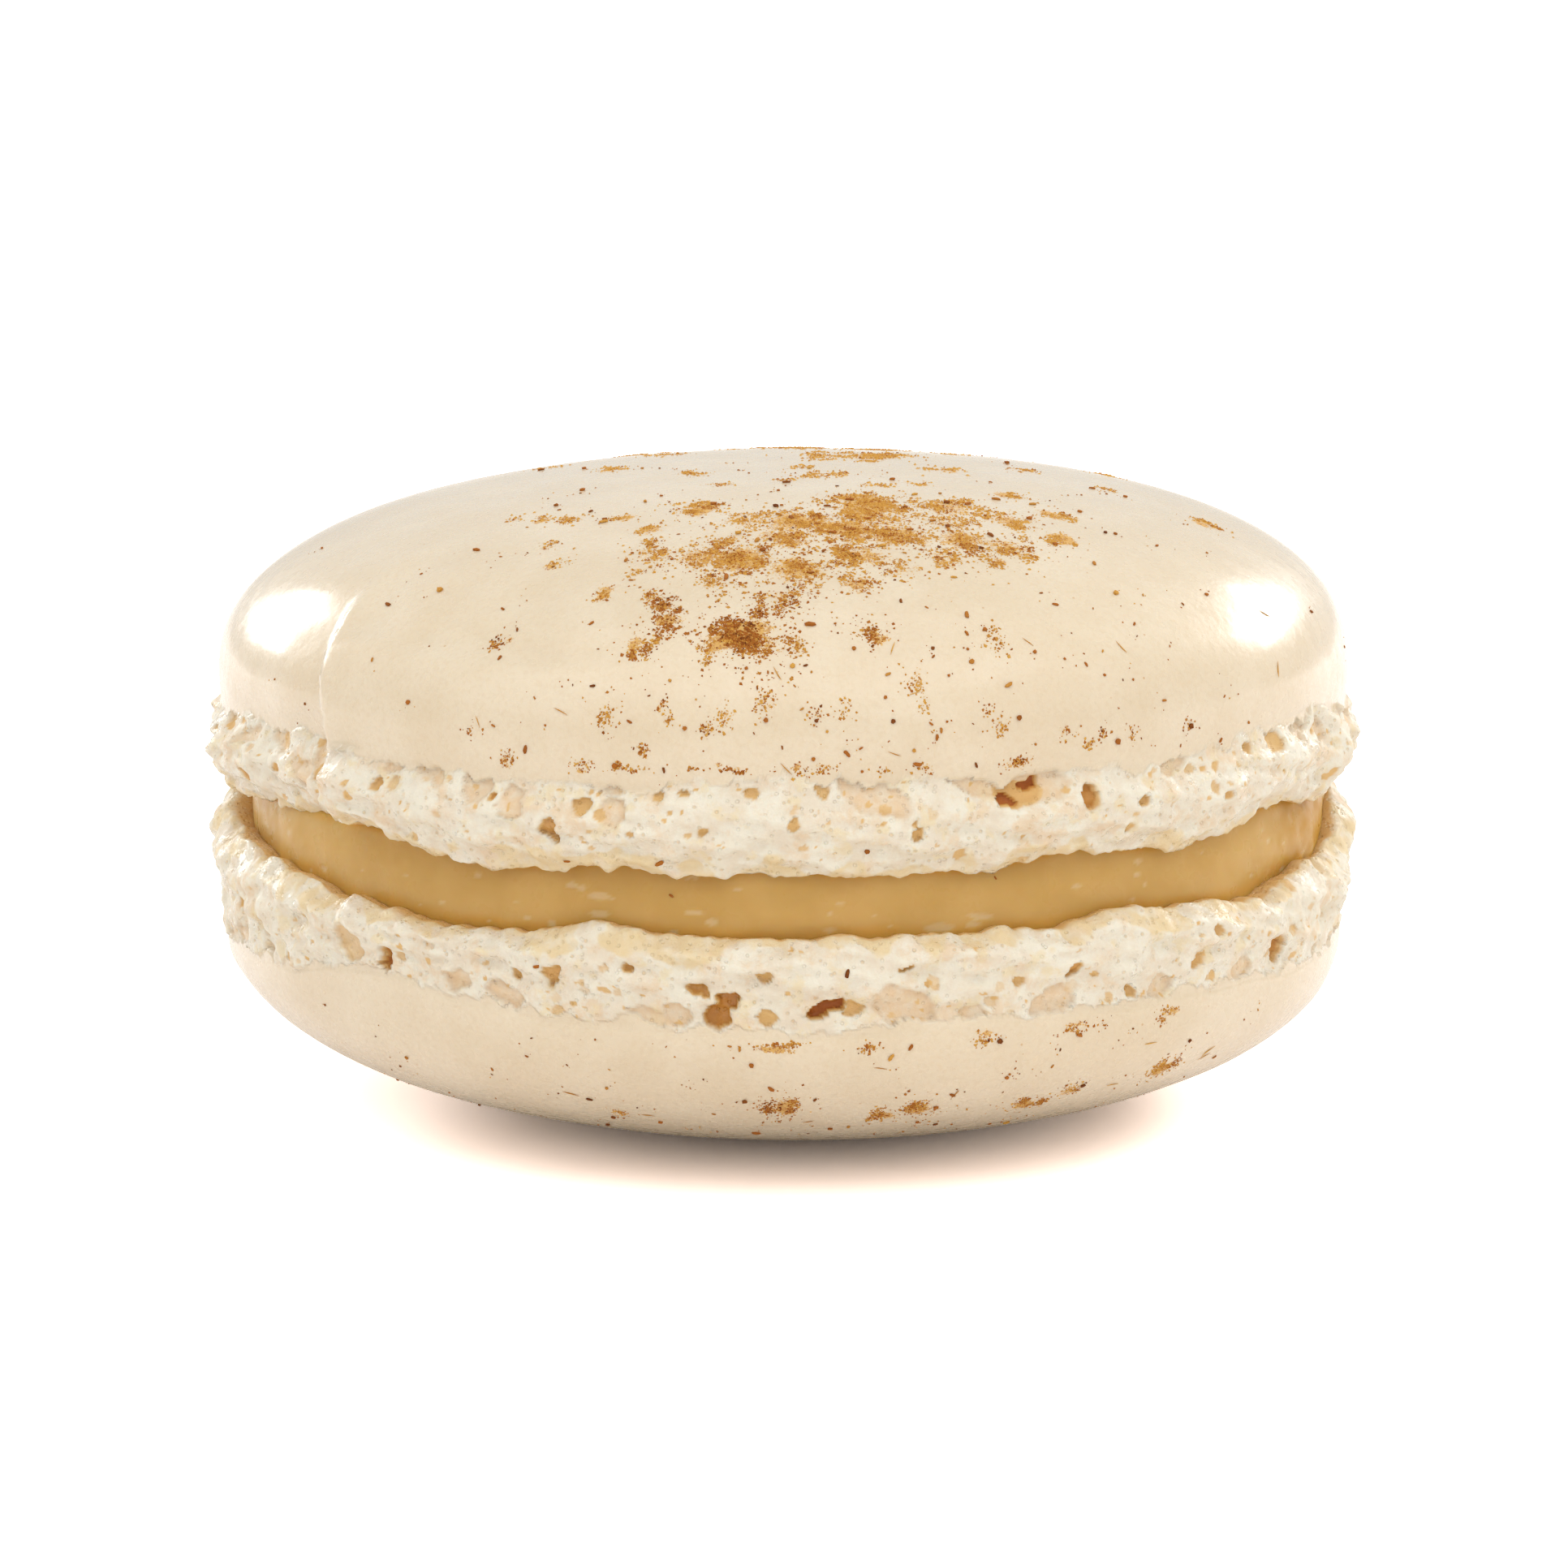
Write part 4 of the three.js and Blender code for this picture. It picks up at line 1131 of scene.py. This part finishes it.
def land_from_side(tree, turn, level):
    """Comes in from outside at an angle, at a level above the floor."""
    outward = Vector((math.sin(turn), -math.cos(turn), 0.0))
    start = outward * 60 * MM + Vector((SHIFT[0] * MM, SHIFT[1] * MM, (level + SHIFT[2]) * MM))
    return tree.ray_cast(start, -outward)[:2]


def clumped(draw, count, width, tall, dark):
    """Offsets and shades of the crumbs of one patch, which gather in small clumps."""
    clumps = max(3, int(width * tall * 2.6))
    middles = draw.normal(0.0, 0.24, (clumps, 2)) * (width, tall)
    spreads = draw.uniform(0.07, 0.2, clumps)
    tones = np.clip(0.08 + 0.85 * dark + draw.normal(0.0, 0.13, clumps), 0.0, 0.85)
    chosen = draw.choice(clumps, size=count, p=spreads ** 2 / (spreads ** 2).sum())
    flat = (1.0, min(1.0, 2.5 * tall / width))
    offsets = middles[chosen] + draw.normal(0.0, 1.0, (count, 2)) * spreads[chosen, None] * flat
    loose = draw.random(count) < 0.2
    offsets[loose] = draw.normal(0.0, 0.4, (int(loose.sum()), 2)) * (width, tall)
    shades = np.clip(tones[chosen] + draw.normal(0.0, 0.2, count), 0.0, 1.0)
    return zip(offsets[:, 0], offsets[:, 1], shades)


def cinnamon(upper, lower, filling):
    draw = np.random.default_rng(415)
    upper_tree = skin_tree(upper)
    lower_tree = skin_tree(lower)
    powder, crumbs, flecks = [], [], []

    def lay(kind, landed, size, shade):
        hit, normal = landed
        if hit is None:
            return
        if normal.dot(hit - Vector((0.0, 0.0, 13.0 * MM))) < 0.0:
            normal = -normal
        kind.append((np.array(hit) + np.array(normal) * size * 0.25, normal, size, shade))

    # Powder, patch by patch
    for middle_x, middle_y, width, thick, dark in UPPER_POWDER:
        packed = GRAINS_ON_TOP if middle_y > FRONT else GRAINS_IN_FRONT
        count = int(packed * width * width * thick)
        for x, y, shade in clumped(draw, count, width, width, dark):
            if math.hypot(middle_x + x, middle_y + y) < 21.9:
                lay(powder, land_from_above(upper_tree, middle_x + x, middle_y + y),
                    mix(0.03, 0.1, draw.random() ** 2) * MM, shade)
    for shell, tree, patches in ((UPPER, upper_tree, UPPER_SIDE_POWDER),
                                 (LOWER, lower_tree, LOWER_SIDE_POWDER)):
        for turn, up, width, tall, thick, dark in patches:
            count = int(GRAINS_ON_SIDE * width * tall * thick) + 4
            for across, rise, shade in clumped(draw, count, width, tall, dark):
                if up + rise > shell["skin_height"] + 0.1:
                    level = shell["face"] + shell["up"] * (up + rise)
                    lay(powder, land_from_side(tree, math.radians(turn) + across / RIM, level),
                        mix(0.03, 0.075, draw.random() ** 1.5) * MM, shade)

    # Single crumbs, with a few grains of dust by each, thinning out from the sprinkling
    for _ in range(210):
        x = 1.2 + draw.normal(0.0, 6.5)
        y = -12.0 + draw.normal(0.0, 6.5)
        if math.hypot(x, y) < 21.7:
            lay(crumbs, land_from_above(upper_tree, x, y), mix(0.05, 0.17, draw.random() ** 2.5) * MM,
                draw.beta(2.6, 1.8))
            for _ in range(int(draw.integers(0, 5))):
                near_x, near_y = x + draw.normal(0.0, 0.35), y + draw.normal(0.0, 0.35)
                if math.hypot(near_x, near_y) < 21.9:
                    lay(powder, land_from_above(upper_tree, near_x, near_y),
                        draw.uniform(0.03, 0.055) * MM, draw.uniform(0.1, 0.8))
    for shell, tree, low, high in ((UPPER, upper_tree, 3.4, 9.0), (LOWER, lower_tree, 3.3, 8.2)):
        for _ in range(110):
            turn = math.radians(draw.normal(4.0, 28.0))
            level = shell["face"] + shell["up"] * draw.uniform(low, high)
            lay(crumbs, land_from_side(tree, turn, level), mix(0.04, 0.14, draw.random() ** 2.5) * MM,
                draw.beta(2.8, 1.6))
            for _ in range(int(draw.integers(0, 4))):
                spot = land_from_side(tree, turn + draw.normal(0.0, 0.015),
                                      level + draw.normal(0.0, 0.3))
                lay(powder, spot, draw.uniform(0.025, 0.05) * MM, draw.uniform(0.1, 0.8))
        for _ in range(11):
            turn = math.radians(draw.normal(8.0, 26.0))
            level = shell["face"] + shell["up"] * draw.uniform(low, high)
            lay(flecks, land_from_side(tree, turn, level), draw.uniform(0.06, 0.1) * MM,
                draw.uniform(0.0, 0.45))

    trees = {"upper": upper_tree, "lower": lower_tree, "cream": skin_tree(filling)}
    for kind, turn, level, size, shade in LONE_CRUMBS:
        lay(crumbs, land_from_side(trees[kind], math.radians(turn), level), size * MM, shade)

    fine = [crumb_shape("crumb_sharp", 8, (1.0, 0.8, 0.7), 1),
            crumb_shape("crumb_flat", 8, (1.2, 0.9, 0.5), 2)]
    rough = [crumb_shape("crumb_round", 20, (1.0, 0.8, 0.6), 3),
             crumb_shape("crumb_long", 20, (1.5, 0.7, 0.5), 4)]
    thread = [crumb_shape("thread", 20, (4.5, 0.26, 0.2), 5)]
    material = cinnamon_material()
    for name, shapes, laid in (("cinnamon_powder", fine, powder), ("cinnamon_crumbs", rough, crumbs),
                               ("cinnamon_threads", thread, flecks)):
        piece = scattered_piece(name, shapes, laid, draw)
        piece.data.materials.append(material)
        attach(piece, "root")


# Camera: level with a table top, looking slightly down, as the photo was taken
CAMERA_DISTANCE = 230.0
CAMERA_ELEVATION = 10.0
CAMERA_TARGET = 12.65
CAMERA_ROLL = 0.25
FRAME_WIDTH = 63.34
SENSOR = 36.0

# Light: a white studio; two soft boxes behind, which make the two highlights (place, size and
# power); wide lights (angle from the front, elevation, width in degrees and strength)
MIDDLE = (0.0, 0.0, 0.013)
STUDIO_LEVEL = 0.69
BOXES = [
    ("box_back_left", (-0.34, 0.36, 0.17), (0.14, 0.13), 0.62),
    ("box_back_right", (0.35, 0.32, 0.23), (0.25, 0.13), 0.95),
]
WIDE_LIGHTS = [
    ("big_box_above", 6.0, 74.0, 75.0, 0.94), ("wall_left", -40.0, 40.0, 60.0, 0.41),
    ("wall_right", 46.0, 36.0, 60.0, 0.48),
]


def camera():
    data = bpy.data.cameras.new("camera")
    data.sensor_width = SENSOR
    data.lens = SENSOR * CAMERA_DISTANCE / FRAME_WIDTH
    data.clip_start = 0.01
    data.clip_end = 20.0
    made = bpy.data.objects.new("camera", data)
    tilt = math.radians(CAMERA_ELEVATION)
    made.location = (
        SHIFT[0] * MM,
        (SHIFT[1] - CAMERA_DISTANCE * math.cos(tilt)) * MM,
        (CAMERA_TARGET + SHIFT[2] + CAMERA_DISTANCE * math.sin(tilt)) * MM,
    )
    made.rotation_euler = (math.pi / 2 - tilt, math.radians(CAMERA_ROLL), 0.0)
    bpy.context.scene.collection.objects.link(made)
    bpy.context.scene.camera = made


def area_light(name, place, size, power):
    data = bpy.data.lights.new(name, "AREA")
    data.shape = "RECTANGLE"
    data.size, data.size_y = size
    data.energy = power
    made = bpy.data.objects.new(name, data)
    made.location = place
    aim = Vector(MIDDLE) - Vector(place)
    made.rotation_euler = aim.to_track_quat("-Z", "Y").to_euler()
    bpy.context.scene.collection.objects.link(made)


def broad_light(name, turn, elevation, width, strength):
    """A wide soft light from far off: its angle round from the front, its height and its width."""
    data = bpy.data.lights.new(name, "SUN")
    data.energy = strength
    data.angle = math.radians(width)
    made = bpy.data.objects.new(name, data)
    level = math.cos(math.radians(elevation))
    turn = math.radians(turn)
    source = Vector((math.sin(turn) * level, -math.cos(turn) * level, math.sin(math.radians(elevation))))
    made.rotation_euler = source.to_track_quat("Z", "Y").to_euler()
    bpy.context.scene.collection.objects.link(made)


def studio():
    scene = bpy.context.scene
    world = bpy.data.worlds.new("studio")
    world.use_nodes = True
    backdrop = world.node_tree.nodes["Background"]
    backdrop.inputs["Color"].default_value = (1.0, 1.0, 1.0, 1.0)
    backdrop.inputs["Strength"].default_value = STUDIO_LEVEL
    scene.world = world
    scene.view_settings.view_transform = "Standard"
    bpy.ops.object.select_all(action="DESELECT")
    bpy.ops.mesh.primitive_plane_add(size=3.0, location=(0.0, 0.0, 0.0))
    floor = bpy.context.object
    floor.name = "floor"
    material, tree, shader = new_material("white_floor")
    # Over-exposed, as in the photo, where only the deepest shadow shows; what it sheds on the
    # macaron is that of a plain white table
    seen = tree.nodes.new("ShaderNodeLightPath").outputs["Is Camera Ray"]
    tree.links.new(blend(tree, seen, FLOOR_WHITE, FLOOR_SHOWN), shader.inputs["Base Color"])
    shader.inputs["Roughness"].default_value = 0.7
    floor.data.materials.append(material)
    for box in BOXES:
        area_light(*box)
    for light in WIDE_LIGHTS:
        broad_light(*light)


camera()
upper = shell_piece("upper_shell", UPPER, UPPER_HOLES, UPPER_HOLLOWS, UPPER_POWDER,
                    UPPER_SIDE_POWDER, 11, "shell_top")
lower = shell_piece("lower_shell", LOWER, LOWER_HOLES, LOWER_HOLLOWS, [], LOWER_SIDE_POWDER, 23,
                    "shell_bottom")
filling = cream()
cinnamon(upper, lower, filling)
studio()

bpy.context.view_layer.update()
